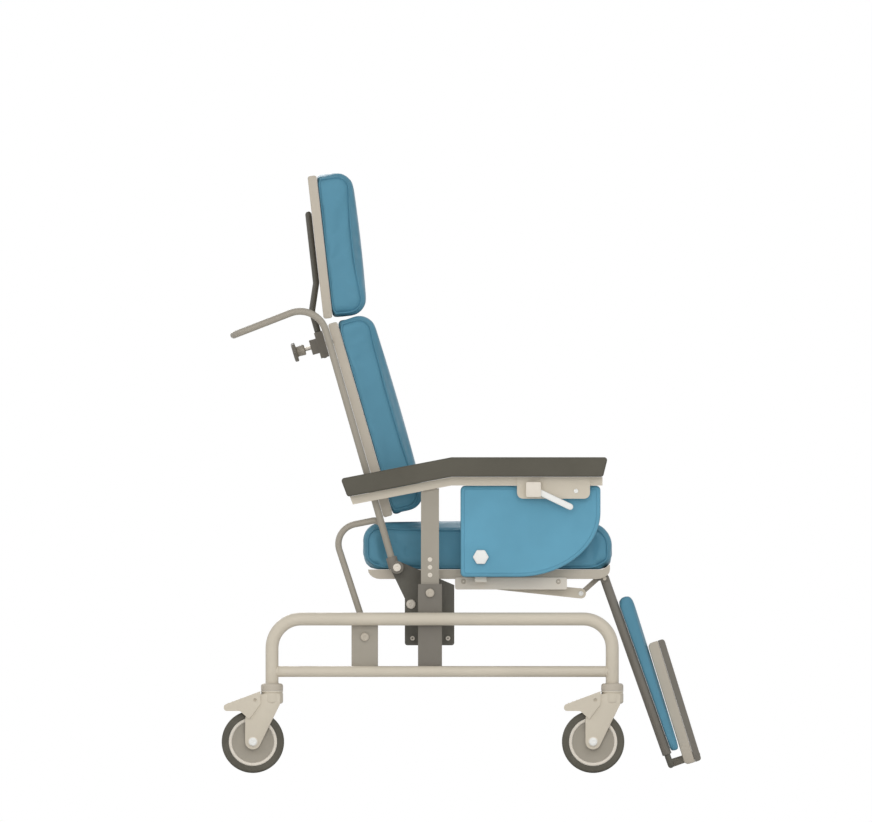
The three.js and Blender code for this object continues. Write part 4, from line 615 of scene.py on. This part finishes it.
def cross_tubes():
    kit, steel = (CHAIR, "cream", "base"), (CHAIR, "bolt", "base")
    reach = TRACK_HALF - RAIL_RADIUS * 0.6
    for end, x, z in (("rear", REAR_CROSS_X, TOP_RAIL_Z), ("front", FRONT_CROSS_X, LOWER_RAIL_Z)):
        tube(end + "_cross_bar", [(x, -reach, z), (x, reach, z)], [], CROSS_RADIUS, *kit,
             replaces=[end + "_cross_tube"])
    eye = (SPRING_EYE_X, TOP_RAIL_Z)
    lug_radius, pin_radius, head_radius, head_rise = 9, 5, 7, 2.6
    outline = bone(REAR_CROSS_X, TOP_RAIL_Z, CROSS_RADIUS, *eye, lug_radius)
    for hand, side in SIDES.items():
        y = side * (TRACK_HALF - RAIL_RADIUS - 0.2)
        weld("rear_cross_weld_" + hand, REAR_CROSS_X, TOP_RAIL_Z, CROSS_RADIUS, y, *kit, sag=1.6)
        prism("spring_lug_" + hand, outline, *span(side, LUG_INNER, LUG_OUTER), *kit)
        bolt("spring_lug_bolt_" + hand, *eye, side, LUG_OUTER, head_rise, head_radius, *steel)
    pin = disc_profile(pin_radius, -LUG_OUTER, LUG_OUTER, 0.6)
    lathe("spring_lug_pin", pin, (SPRING_EYE_X, 0, TOP_RAIL_Z), "Y", *steel)


def base():
    for hand, side in SIDES.items():
        side_frame(hand, side)
        for end, x in (("rear", REAR_STEM_X), ("front", FRONT_STEM_X)):
            caster(end, hand, x, side)
    cross_tubes()


# Casters
def caster(end, hand, x, side):
    spot = CHAIR @ shifted(x, 0, side * TRACK_HALF)
    tag = f"{end}_{hand}"
    fork, wheel = "fork_" + tag, "wheel_" + tag
    head_low, top = CASTER_HEIGHT - HEAD_HEIGHT, CASTER_HEIGHT
    edge, ease, groove = 5.5, 0.6, COLLAR_RADIUS - 1.2
    profile = [(0, head_low)] + arc(COLLAR_RADIUS - edge, head_low + edge, edge, edge, -math.pi / 2, 0, 8)
    profile += [(COLLAR_RADIUS, top - 5), (groove, top - 4.2), (groove, top - 3), (COLLAR_RADIUS, top - 2.2)]
    profile += [(COLLAR_RADIUS, top - ease), (COLLAR_RADIUS - ease, top), (0, top)]
    lathe("fork_head_" + tag, profile, (0, 0, 0), "Z", spot, "cream", fork, replaces=["caster_fork_" + tag])
    hub = (-TRAIL, 0, WHEEL_RADIUS)
    boss = math.atan2(head_low - WHEEL_RADIUS, NECK_X + TRAIL)
    apart = math.hypot(head_low - WHEEL_RADIUS, NECK_X + TRAIL)
    touch = boss - math.acos(BOSS_RADIUS / apart)
    left, shoulder = -TRAIL - BOSS_RADIUS, CASTER_HEIGHT - 6
    outline = [(-COLLAR_RADIUS, shoulder), (-37, 152), (left + 6, 140), (left, 107.5)]
    outline += arc(-TRAIL, WHEEL_RADIUS, BOSS_RADIUS, BOSS_RADIUS, math.pi, 2 * math.pi + touch, 28)
    outline += [(NECK_X, head_low), (NECK_X, shoulder)]
    washer_radius, washer_height, cap_radius, cap_rise, axle_radius = 10, 1, 8, 2.4, 6
    for name, one in (("near", -1), ("far", 1)):
        prism(f"fork_cheek_{name}_{tag}", outline, *span(one, CHEEK_INNER, CHEEK_OUTER), spot, "cream", fork,
              edge=1.0)
        washer = disc_profile(washer_radius, *span(one, CHEEK_OUTER, CHEEK_OUTER + washer_height), 0.3)
        lathe(f"axle_washer_{name}_{tag}", washer, hub, "Y", spot, "bolt", fork)
        bolt(f"axle_cap_{name}_{tag}", *hub[::2], one, CHEEK_OUTER + 0.9, cap_rise, cap_radius, spot,
             "knob", fork)
    axle = disc_profile(axle_radius, -CHEEK_OUTER, CHEEK_OUTER, 0.5)
    lathe("axle_" + tag, axle, hub, "Y", spot, "bolt", fork)
    lathe("tyre_" + tag, tyre_profile(), hub, "Y", spot, "tyre", wheel, sides=96,
          slot="tyre_grey", replaces=["caster_wheel_" + tag])
    lathe("wheel_ring_" + tag, ring_profile(), hub, "Y", spot, "pale", wheel, sides=96)
    lathe("wheel_disc_" + tag, wheel_disc_profile(), hub, "Y", spot, "tube", wheel, sides=96)
    tread_grip(tag, spot)


def both_faces(face):
    """A closed section from the half of it on one side of the wheel's middle."""
    return face + [(radius, -along) for radius, along in reversed(face)] + [face[0]]


def tyre_profile():
    half = WHEEL_HALF
    face = [(48.2, half - 1.2), (50, half), (56, half - 0.2)]
    shoulder = 6
    face += arc(WHEEL_RADIUS - shoulder, half - shoulder, shoulder, shoulder, math.pi / 2 - 0.2, 0, 8)
    tread = WHEEL_RADIUS - 1.3
    face += [(WHEEL_RADIUS, 4.4), (tread, 4.0), (tread, 3.2), (WHEEL_RADIUS, 2.8)]
    return both_faces(face)


def ring_profile():
    half = WHEEL_HALF - 0.6
    face = [(42.2, half - 2.6), (42.8, half - 0.6), (44, half), (47, half), (48.1, half - 0.9)]
    return both_faces(face)


def wheel_disc_profile():
    face = [(6.6, 15.6), (10, 15.6), (11, 14.8), (11.6, 9.8), (14, 8.6), (30, 8.2), (39, 9.2), (42.1, 9.8)]
    return both_faces(face)


def tread_grip(tag, spot):
    """Raised ribs across the pedal's toe, where a shoe presses."""
    toe, heel = Vector((-96.5, 136.2)), Vector((-21.5, 163.8))
    radius, half, sunk = 1.3, 15, 0.5
    for k in range(4):
        x, z = toe + (heel - toe) * (0.12 + 0.11 * k)
        points = [(x, -half, z - sunk), (x, half, z - sunk)]
        tube(f"pedal_rib_{k}_{tag}", points, [], radius, spot, "cream", "pedal_" + tag, sides=12, dome=True)


# Cushions, each made lying on its flat face: along, across and up are its own X, Y and Z
def pad_skin(outline, half, side, crown, pull, inset=0.0, stations=46):
    """Rings of a crowned pad: rounded off towards both sides and drawn in between its corners."""
    alongs, ups = zip(*outline)
    middle, reach, top = (min(alongs) + max(alongs)) / 2, (max(alongs) - min(alongs)) / 2, max(ups)
    slack = falls(outline)
    vertices = []
    for i in range(stations + 1):
        share = -math.cos(math.pi * i / stations)
        share = math.copysign(abs(share) ** 0.8, share)
        over = max(0.0, abs(share) * half - (half - side))
        drop = side - math.sqrt(max(0.0, side**2 - over**2))
        lift = PAD_FOOT_SHARE * drop
        for (along, up), fall in zip(outline, slack):
            risen = crown * (1 - share**2) * fall * max(0.0, 2 * up / top - 1)
            vertices.append((
                middle + (along - middle) * (reach - drop - inset) / reach,
                share * (half - inset - pull * fall),
                lift + up * (top - drop - inset - lift) / top + risen,
            ))
    return vertices, rows_of_faces(stations + 1, len(outline))


def falls(outline):
    """How far each point of an outline is from its ends: 0 at both, 1 half way along."""
    alongs = [along for along, _ in outline]
    middle, reach = (min(alongs) + max(alongs)) / 2, (max(alongs) - min(alongs)) / 2
    return [math.cos((along - middle) / reach * math.pi / 2) for along in alongs]


def points_of(made):
    points = np.empty(len(made.data.vertices) * 3)
    made.data.vertices.foreach_get("co", points)
    return points.reshape(-1, 3)


def move_points(made, points):
    made.data.vertices.foreach_set("co", points.ravel())
    made.data.update()


def swell(made, cap, pressure=4.0, frames=20):
    """Lets a cloth skin swell by up to the cap in millimetres, held where the pad rests, and keeps it."""
    remesh = made.modifiers.new("even", "REMESH")
    remesh.mode = "VOXEL"
    remesh.voxel_size = 0.006
    bake_modifiers(made)
    start = points_of(made)
    held = made.vertex_groups.new(name="held")
    held.add(np.flatnonzero(start[:, 2] < 0.002).tolist(), 1.0, "REPLACE")
    cloth = made.modifiers.new("cloth", "CLOTH")
    cloth.point_cache.frame_end = frames
    skin = cloth.settings
    skin.vertex_group_mass = "held"
    skin.use_pressure = True
    skin.uniform_pressure_force = pressure
    skin.effector_weights.gravity = 0
    skin.tension_stiffness = skin.compression_stiffness = 25
    skin.shear_stiffness = 12
    skin.bending_stiffness = 2
    for step in range(1, frames + 1):
        bpy.context.scene.frame_set(step)
    bake_modifiers(made)
    made.vertex_groups.clear()
    bpy.context.scene.frame_set(1)
    moved = points_of(made) - start
    length = np.linalg.norm(moved, axis=1, keepdims=True)
    limit = cap * MM
    moved *= np.minimum(1.0, limit * np.tanh(length / limit) / np.maximum(length, 1e-9))
    move_points(made, start + moved)


def outline_reach(flat, angles):
    """How far the hull round some points reaches from the middle, at each angle."""
    hull = flat[convex_hull_2d([tuple(point) for point in flat])]
    along = np.roll(hull, -1, axis=0) - hull
    outward = np.stack((along[:, 1], -along[:, 0]), axis=1)
    height = (outward * hull).sum(axis=1)
    outward *= np.sign(height)[:, None]
    facing = outward @ np.array((np.cos(angles), np.sin(angles)))
    return np.where(facing > 1e-9, np.abs(height)[:, None] / np.maximum(facing, 1e-9), np.inf).min(axis=0)


def follow_outline(made, loop, half, steps=360):
    """Scales the swollen pad so that from its side it fills the loop, and across its full width."""
    middle, reach = (loop.max(axis=0) + loop.min(axis=0)) / 2, (loop.max(axis=0) - loop.min(axis=0)) / 2
    angles = np.linspace(-math.pi, math.pi, steps, endpoint=False)
    points = points_of(made)
    flat = (points[:, [0, 2]] - middle) / reach
    ratio = outline_reach((loop - middle) / reach, angles) / outline_reach(flat, angles)
    scale = np.interp(np.arctan2(flat[:, 1], flat[:, 0]), angles, ratio, period=2 * math.pi)[:, None]
    points[:, [0, 2]] = middle + flat * scale * reach
    points[:, 2] = np.maximum(points[:, 2], 0)
    points[:, 1] *= half / np.abs(points[:, 1]).max()
    move_points(made, points)


def bake_modifiers(made):
    graph = bpy.context.evaluated_depsgraph_get()
    fresh = bpy.data.meshes.new_from_object(made.evaluated_get(graph))
    made.modifiers.clear()
    old = made.data
    made.data = fresh
    bpy.data.meshes.remove(old)


def pad(name, outline, half, place, body, node, cap=7.0, crown=3.0, pull=8.0, side=22.0, welts=True):
    outline = fine(outline)
    started = 2.0
    flat = Matrix.Scale(MM, 4)
    made = piece(name, *pad_skin(outline, half, side, crown, pull, started), flat, "cushion", body,
                 slot="cushion_blue", replaces=[node])
    swell(made, cap)
    rings = np.array(pad_skin(outline, half, side, crown, pull)[0]).reshape(-1, len(outline), 3)
    follow_outline(made, rings[len(rings) // 2][:, [0, 2]] * MM, half * MM)
    loops = []
    if welts:
        loops = [welt_path(made, outline, edge, half, pull) for edge in (-1, 1)]
        for loop in loops:
            sink_seam(made, loop)
    place = place @ Matrix.Scale(1 / MM, 4)
    made.data.transform(place)
    soft = made.modifiers.new("soft", "SUBSURF")
    soft.levels = soft.render_levels = 1
    tidy_normals(made.data, math.radians(60))
    for loop, tag in zip(loops, ("near", "far")):
        cord = ring(f"{name}_welt_{tag}", loop, WELT_RADIUS * MM, "welt", body)
        cord.data.transform(place)


def welt_path(made, outline, edge, half, pull, count=220):
    """Points on the pad's skin along one side seam, found on the slant from the outline's corners."""
    shell = bmesh.new()
    shell.from_mesh(made.data)
    tree = BVHTree.FromBMesh(shell)
    shell.free()
    loop = [Vector(point) for point in resample(outline, count)]
    middle = sum(loop, Vector((0, 0))) / count
    path = []
    for k, fall in enumerate(falls(loop)):
        outward = (loop[(k + 1) % count] - loop[k - 1]).orthogonal().normalized()
        outward *= math.copysign(1, outward.dot(loop[k] - middle))
        slant = Vector((outward.x, edge, outward.y)).normalized()
        corner = Vector((loop[k].x, edge * (half - pull * fall), loop[k].y)) * MM
        hit = tree.ray_cast(corner + slant * WELT_REACH, -slant)[0]
        path.append(hit or tree.find_nearest(corner)[0])
    for _ in range(3):
        path = [(path[k - 1] + path[k] * 2 + path[(k + 1) % count]) / 4 for k in range(count)]
    buried = WELT_RADIUS * 1.5 * MM
    return [Vector((p.x, p.y, max(p.z, buried))) for p in path]


def sink_seam(made, path, width=0.009, depth=0.0016):
    """Pulls the skin in along a seam, as the sewing does."""
    tree = KDTree(len(path))
    for i, point in enumerate(path):
        tree.insert(point, i)
    tree.balance()
    for vertex in made.data.vertices:
        distance = tree.find(vertex.co)[2]
        if distance < width:
            fall = math.cos(distance / width * math.pi / 2) ** 2
            vertex.co -= vertex.normal * depth * fall
    made.data.update()


def ring(name, path, radius, material, body, sides=10):
    """A closed round cord along a loop of points."""
    count = len(path)
    vertices, faces = [], []
    for k, point in enumerate(path):
        direction = (path[(k + 1) % count] - path[k - 1]).normalized()
        across = direction.cross(Vector((0, 1, 0))).normalized()
        other = direction.cross(across)
        for j in range(sides):
            angle = 2 * math.pi * j / sides
            vertices.append(point + (across * math.cos(angle) + other * math.sin(angle)) * radius)
        for j in range(sides):
            a, b = k * sides + j, k * sides + (j + 1) % sides
            c, d = (k + 1) % count * sides + j, (k + 1) % count * sides + (j + 1) % sides
            faces.append((a, b, d, c))
    return piece(name, vertices, faces, Matrix.Identity(4), material, body)


def upright_pad(rear, frame_at):
    """The place of a pad that stands: its up points forward, and its length up the board behind it."""
    swing = Matrix(((0, 0, 1, rear), (0, 1, 0, 0), (1, 0, 0, 0), (0, 0, 0, 1)))
    return frame_at @ swing


def upright_outline(low, high, deep=70, front=33, rear=8):
    return rounded([(low, 0, rear), (low, deep, front), (high, deep, front), (high, 0, rear)], 10)


def cushions():
    rear, front, deep = -205.5, 292.5, 93.7
    outline = rounded([(rear, deep, 36), (rear, 0, 30), (front, 0, 26), (front, deep, 60)], 10)
    pad("seat_pad", outline, CUSHION_HALF, CHAIR @ shifted(0, TRAY_TOP + PAD_GAP), "seat", "seat_cushion",
        cap=8)
    pad("back_pad", upright_outline(103, 506), CUSHION_HALF, upright_pad(21.4, BACK), "back",
        "back_cushion", cap=8)
    pad("headrest_pad", upright_outline(0, HEAD_HEIGHT_Z), HEAD_HALF, upright_pad(18.3, HEADREST), "headrest",
        "headrest_cushion", cap=8)
    rear, low, high = LEG_RADIUS + PAD_GAP, 2.5 - LEG_LENGTH, -47
    deep = [calf_depth(height, rear) for height in (low, high)]
    outline = rounded([(low, 0, 6), (low, deep[0], 6), (high, deep[1], 15), (high, 0, 14)])
    pad("calf_rest_pad", outline, CALF_HALF, upright_pad(rear, LEG_REST), "leg", "calf_pad", cap=3, crown=0,
        pull=2, side=8, welts=False)


def calf_depth(height, rear):
    """How far the calf pad reaches forward at a height, up to the folded foot board."""
    gap = 1.2
    return FOOT[0] + (height - FOOT[1]) * math.tan(FOOT_TURN) - gap - rear


def fine(outline, step=7.0):
    """The outline with its long edges divided, so that the skin has even faces."""
    points = []
    for a, b in zip(outline, outline[1:] + outline[:1]):
        a, b = Vector(a), Vector(b)
        parts = max(1, round((b - a).length / step))
        points += [tuple(a.lerp(b, k / parts)) for k in range(parts)]
    return points


# Hoops and gas spring
def hoop(hand, side):
    y = side * HOOP_Y
    root_x = RECLINE[0] + BACK_TUBE_X
    slope = math.tan(math.radians(11.3))
    top_x, top_z = HOOP_TOP
    rise = (top_z - RECLINE[1] + (root_x - top_x) * slope) / (1 + math.tan(BACK_LEAN) * slope)
    below_guide = 26
    length = (top_z - GUIDE[1] + below_guide) / math.cos(HOOP_LEAN)
    places = [
        (root_x, y, RECLINE[1]),
        (root_x - rise * math.tan(BACK_LEAN), y, RECLINE[1] + rise),
        (top_x, y, top_z),
        (top_x + length * math.sin(HOOP_LEAN), y, top_z - length * math.cos(HOOP_LEAN)),
    ]
    tube("hoop_tube_" + hand, places, [18, 40], HOOP_RADIUS, CHAIR, "tube", "seat", dome=True,
         slot="tube_grey", replaces=["hoop_" + hand])
    inner, outer = span(side, PLATE_OUTER + PAD_GAP, 244.5)
    lathe("hoop_eye_" + hand, disc_profile(EYE_RADIUS, 0, outer - inner, 1.0),
          (RECLINE[0], inner, RECLINE[1]), "Y", CHAIR, "tube", "seat")


def gas_spring():
    rear = Vector((SPRING_EYE_X, 0, TOP_RAIL_Z))
    reach, drop = SPRING_ARM * math.sin(SPRING_ARM_ANGLE), SPRING_ARM * math.cos(SPRING_ARM_ANGLE)
    front = Vector((TILT[0] - reach, 0, TILT[1] - drop - SPRING_EYE_DROP))
    line = front - rear
    spot = CHAIR @ Matrix.Translation(rear) @ turned(-math.atan2(line.z, line.x))
    kit = (spot, "dark", "spring_cylinder")
    outer, groove, start, end, bore, depth = 11, 10.4, 12, 128, 5.4, 60
    body = [(0, start), (9.5, start), (10.8, 13), (outer, 15), (outer, 122), (groove, 124), (groove, 125)]
    body += [(outer, 126), (10, end), (bore, end), (bore, depth), (0, depth)]
    lathe("spring_body", body, (0, 0, 0), "X", *kit, replaces=["gas_spring_cylinder"])
    half = SPRING_EYE_HALF
    prism("spring_neck", rectangle(2, 20, -half, half, 1), 0.5 - half, half - 0.5, *kit)
    ring_eye("spring_rear_eye", 0, 0, SPRING_EYE_RADIUS, 5.45, -half, half, *kit)
    rod = disc_profile(5, 50, line.length - 9, 0.6)
    lathe("spring_rod", rod, (0, 0, 0), "X", spot, "rod", "spring_rod", replaces=["gas_spring_rod"])
    ring_eye("spring_front_eye", line.length, 0, SPRING_EYE_RADIUS, 6.6, -half, half, spot, "dark",
             "spring_rod")


def ring_eye(name, x, z, outer, inner, y_from, y_to, *kit):
    edge = 0.7
    start = [(inner, edge), (inner + edge, 0), (outer - edge, 0), (outer, edge)]
    profile = start + [(radius, y_to - y_from - along) for radius, along in reversed(start)] + start[:1]
    return lathe(name, profile, (x, y_from, z), "Y", *kit, sides=48)


# Back and headrest
def back():
    kit = (BACK, "tube", "back")
    x, handle_bend_z, handle_length, droop = BACK_TUBE_X, 553.2, 180, math.radians(5.1)
    handle_x, handle_z = x - handle_length * math.cos(droop), handle_bend_z - handle_length * math.sin(droop)
    places = [(x, -BACK_Y, 12), (x, -BACK_Y, handle_bend_z), (handle_x, -BACK_Y, handle_z)]
    places += [(px, -py, pz) for px, py, pz in reversed(places)]
    tube("back_tube", places, [54, 32, 32, 54], BACK_RADIUS, *kit, slot="tube_grey", replaces=["back_frame"])
    for tag, z in (("upper", UPPER_CROSS_Z), ("lower", LOWER_CROSS_Z)):
        tube(f"back_cross_{tag}", [(x, -BACK_Y, z), (x, BACK_Y, z)], [], BACK_RADIUS, *kit)
        for hand, side in SIDES.items():
            y = side * (BACK_Y - BACK_RADIUS + 1)
            weld(f"back_weld_{tag}_{hand}", x, z, BACK_RADIUS, y, *kit, sag=1.8)
    kit = (BACK, "slate", "back")
    for hand, side in SIDES.items():
        lathe("back_sleeve_" + hand, disc_profile(11, 0, 23.4, 1.2), (x, side * BACK_Y, 0), "Z", *kit)
        ring_eye("back_eye_" + hand, 0, 0, EYE_RADIUS, EYE_BORE, *span(side, 245, 267), *kit)
    place = (0, 0, UPPER_CROSS_Z)
    radius, start, end = 4, KNOB_X - 14, -28
    shaft = [(0, start), (radius, start), (radius, end), (0, end)]
    lathe("knob_screw", shaft, place, "X", BACK, "bolt", "clamp_knob", replaces=["clamp_knob"])
    hub = KNOB_X - 12
    profile = [(0, hub), (9, hub), (11, hub - 2), (10, hub - 15), (12, hub - 17.5), (0, hub - 17.5)]
    lathe("knob_hub", profile, place, "X", BACK, "tube", "clamp_knob")
    star_knob("knob_star", hub - 17, hub - 25, 19.5, BACK, "slate", "clamp_knob")


def star_knob(name, x_from, x_to, radius, *kit, lobes=7):
    """A hand wheel with rounded lobes, facing along the back's X."""
    count = lobes * 14
    angles = [2 * math.pi * k / count for k in range(count)]
    rims = [(1.8, x_from), (0.5, x_from - 0.6), (0, x_from - 2)]
    rims += [(0, x_to + 2.2), (0.6, x_to + 0.8), (2.4, x_to)]
    vertices = []
    for inset, x in rims + [(9, x_to - 0.4)]:
        for a in angles:
            reach = radius - inset - 1.1 * (1 + math.cos(lobes * a))
            vertices.append((x, reach * math.cos(a), UPPER_CROSS_Z + reach * math.sin(a)))
    return piece(name, vertices, rows_of_faces(len(rims) + 1, count), *kit)


def headrest():
    place = BACK.inverted() @ HEADREST
    knee, top = (place @ Vector((-BAR_RADIUS - PAD_GAP, 0, height)) for height in (73, 217))
    places = [(-BAR_SETBACK, 0, 442), (-BAR_SETBACK, 0, 539.4), knee, top]
    tube("headrest_stem", places, [14, 14], BAR_RADIUS, BACK, "dark", "headrest", dome=True,
         slot="dark_metal", replaces=["headrest_bar"])


# Arms
def arm_outline(front_x=284.5, rear_length=226, front_rake=9.8, rear_rake=14, corner=6):
    away = Vector((-math.cos(ARM_SLOPE), -math.sin(ARM_SLOPE)))
    low = ARM_TOP - ARM_THICKNESS
    top = Vector((ARM_BEND_X, ARM_TOP)) + away * rear_length
    bottom = Vector((ARM_BEND_X, low)) + away * (rear_length - rear_rake)
    corners = [(*top, corner), (*bottom, corner), (ARM_BEND_X, low), (front_x - front_rake, low, corner)]
    return rounded(corners + [(front_x, ARM_TOP, corner), (ARM_BEND_X, ARM_TOP)], 6)


def arm(hand, side):
    body, knob = "arm_" + hand, "hex_knob_" + hand
    rest = prism("arm_rest_" + hand, arm_outline(), *span(side, 268, 334), CHAIR, "foam", body, edge=5,
                 rows=5, slot="dark_pad", replaces=["arm_pad_" + hand])
    block = rectangle(120.5, 150.5, 552, 582, 4)
    prism("lever_block_" + hand, block, *span(side, 326, 327.2), CHAIR, "pale", body, edge=0.5)
    x, z, radius, length, droop = 134.5, 568, 6.3, 82.4, math.radians(25.6)
    grip = bone(x, z, radius, x + length * math.cos(droop), z - length * math.sin(droop), radius)
    prism("lever_" + hand, grip, *span(side, 314.45, 321.85), CHAIR, "knob", "lever_" + hand, edge=2.4,
          rows=4, slot="knob_white", replaces=["release_lever_" + hand])
    side_panel(hand, side)
    knob_face = span(side, PANEL_OUTER + PAD_GAP, 302)
    prism("panel_knob_" + hand, hexagon(*PANEL_KNOB, 28), *knob_face, CHAIR, "knob", knob, edge=2.0, rows=3,
          slot="knob_white", replaces=["hex_knob_" + hand])
    start, end = span(side, 258, 299)
    shank = disc_profile(4, 0, end - start, 0.6)
    lathe("panel_bolt_" + hand, shank, (PANEL_KNOB[0], start, PANEL_KNOB[1]), "Y", CHAIR, "bolt", knob)
    prism("panel_nut_" + hand, hexagon(*PANEL_KNOB, 14), *span(side, 258.4, 262.2), CHAIR, "bolt", knob,
          edge=0.9)


def panel_outline(inset=0.0):
    rear, front, bottom, top = -10.5 + inset, 269.5 - inset, 392 + inset, 574.7 - inset
    corner = 9 - min(inset, 5)
    sweep_x, sweep_z = 166 - inset, 130 - inset
    curve = [(front - sweep_x, bottom), (front, bottom + sweep_z)]
    corners = [(front, top, corner), (rear, top, corner), (rear, bottom, corner)]
    sweep = arc(front - sweep_x, bottom + sweep_z, sweep_x, sweep_z, 1.5 * math.pi, 2 * math.pi, 28)
    return rounded(corners + curve)[:-2] + sweep


def side_panel(hand, side):
    """A padded panel: both faces swell a little inside a welted rim."""
    inner, outer = span(side, PANEL_INNER, PANEL_OUTER)
    shells = [(7.0, 0.0), (3.4, 0.4), (1.2, 2.0), (0.0, 5.0)]  # how far in from the rim, and how deep
    rows = [(inset, inner + depth) for inset, depth in shells]
    rows += [(inset, outer - depth) for inset, depth in reversed(shells)]
    count = 220
    rims = [resample(panel_outline(inset), count) for inset, _ in rows]
    vertices = [(x, y, z) for (_, y), rim in zip(rows, rims) for x, z in rim]
    made = piece("panel_pad_" + hand, vertices, rows_of_faces(len(rows), count), CHAIR, "panel",
                 "arm_" + hand, slot="panel_blue", replaces=["side_panel_" + hand])
    seam_inset, seam_radius, face = 7.5, 0.9, side * PANEL_OUTER
    path = [CHAIR @ Vector((x, face, z)) for x, z in resample(panel_outline(seam_inset), 260)]
    ring("panel_seam_" + hand, path, seam_radius * MM, "panel_welt", "arm_" + hand, sides=8)


def resample(outline, count):
    """Even points round a closed outline."""
    closed = [Vector(p) for p in outline + [outline[0]]]
    lengths = [0.0]
    for a, b in zip(closed, closed[1:]):
        lengths.append(lengths[-1] + (b - a).length)
    points, i = [], 0
    for k in range(count):
        target = lengths[-1] * k / count
        while lengths[i + 1] < target:
            i += 1
        share = (target - lengths[i]) / (lengths[i + 1] - lengths[i])
        points.append(tuple(closed[i].lerp(closed[i + 1], share)))
    return points


# Leg rest
def leg_rest():
    kit, slide = (LEG_REST, "slate", "leg"), (LEG_REST, "dark", "foot_slide")
    tail, overlap, bar_radius = 28, 74, 7
    pin_x, pin_z = Matrix.Rotation(-LEG_LEAN, 2) @ Vector((-10.5, 3))
    crank = bone(0, 0, 6.4, pin_x, pin_z, 6)
    for hand, side in SIDES.items():
        y = side * LEG_Y
        tube("leg_tube_" + hand, [(0, y, -LEG_LENGTH), (0, y, 0)], [], LEG_RADIUS, *kit, edge=1.5)
        hinge = disc_profile(LEG_RADIUS, -LEG_RADIUS, LEG_RADIUS, 1.0)
        lathe("leg_hinge_" + hand, hinge, (0, y, 0), "Y", *kit)
        ends = [(0, y, -LEG_LENGTH - tail), (0, y, -LEG_LENGTH + overlap)]
        tube("foot_tube_" + hand, ends, [], FOOT_RADIUS, *slide, dome=True)
        prism("leg_crank_" + hand, crank, *span(side, 182.2, 195), *kit)
    for tag, share in (("upper", 0.22), ("lower", 0.86)):
        z = -share * LEG_LENGTH
        tube("leg_bar_" + tag, [(0, -LEG_Y, z), (0, LEG_Y, z)], [], bar_radius, *kit)
    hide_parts("leg_frame")
    ends = [(0, -LEG_Y, FOOT_BAR_Z), (0, LEG_Y, FOOT_BAR_Z)]
    tube("foot_bar", ends, [], FOOT_RADIUS, *slide, replaces=["foot_slide"])
    turn_x, turn_z, along, out = math.cos(FOOT_TURN), math.sin(FOOT_TURN), 28.2, 13
    pivot = (FOOT[0] + along * turn_x + out * turn_z, FOOT[1] - along * turn_z + out * turn_x)
    for hand, side in SIDES.items():
        prism("foot_arm_" + hand, bone(2.2, FOOT_BAR_Z, 8.3, *pivot, 7.4), *span(side, 111, 129), LEG_REST,
              "tube", "foot_slide", edge=1.5, rows=3)


# Floor, light and camera
def stage():
    bpy.ops.mesh.primitive_plane_add(size=30, location=(0, 0, 0))
    floor = bpy.context.object
    floor.name = "floor"
    ground = Surface("floor_paper", (0.88, 0.88, 0.88, 1), 0.88).tone(0.01)
    ground.bump(ground.noise(240.0, 3.0), 0.1, 0.0002)
    floor.data.materials.append(ground.done(0.05, 30.0))
    lamp("front", (0.1, -4.6, 1.1), 3.6, 89).visible_glossy = False
    lamp("key", (1.6, -3.0, 3.2), 2.4, 18)
    lamp("fill", (-3.2, -1.6, 2.0), 2.6, 18)
    lamp("back", (-0.8, 3.4, 2.4), 3.0, 60)
    world = bpy.data.worlds.new("studio")
    bpy.context.scene.world = world
    world.use_nodes = True
    nodes, links = world.node_tree.nodes, world.node_tree.links
    nodes.clear()
    rays = nodes.new("ShaderNodeLightPath")
    seen = rays.outputs["Is Camera Ray"]
    for kind in ("Is Glossy Ray", "Is Transmission Ray"):
        either = nodes.new("ShaderNodeMath")
        either.operation = "MAXIMUM"
        links.new(seen, either.inputs[0])
        links.new(rays.outputs[kind], either.inputs[1])
        seen = either.outputs[0]
    choose = nodes.new("ShaderNodeMixShader")
    links.new(seen, choose.inputs[0])
    for socket, strength in ((1, ROOM_LIGHT), (2, 1.0)):
        glow = nodes.new("ShaderNodeBackground")
        glow.inputs["Color"].default_value = (1, 1, 1, 1)
        glow.inputs["Strength"].default_value = strength
        links.new(glow.outputs[0], choose.inputs[socket])
    links.new(choose.outputs[0], nodes.new("ShaderNodeOutputWorld").inputs["Surface"])


def lamp(name, place, size, power):
    light = bpy.data.lights.new(name, "AREA")
    light.shape = "DISK"
    light.size = size
    light.energy = power
    made = add_object(name, light)
    made.location = place
    made.rotation_euler = (Vector((0, 0, 0.55)) - Vector(place)).to_track_quat("-Z", "Y").to_euler()
    return made


def camera():
    view = bpy.data.cameras.new("side_view")
    view.type = "ORTHO"
    view.ortho_scale = PHOTO_WIDTH * PIXEL
    made = add_object("side_view", view)
    across, up = PHOTO_WIDTH / 2 - ORIGIN_PIXEL[0], ORIGIN_PIXEL[1] - PHOTO_HEIGHT / 2
    made.location = (across * PIXEL, -4, up * PIXEL)
    made.rotation_euler = (math.pi / 2, 0, 0)
    bpy.context.scene.camera = made


camera()
carried_over()
base()
cushions()
gas_spring()
back()
headrest()
for hand, side in SIDES.items():
    hoop(hand, side)
    arm(hand, side)
    bolt_heads(hand, side)
leg_rest()
stage()
bpy.context.scene.view_settings.view_transform = "Standard"
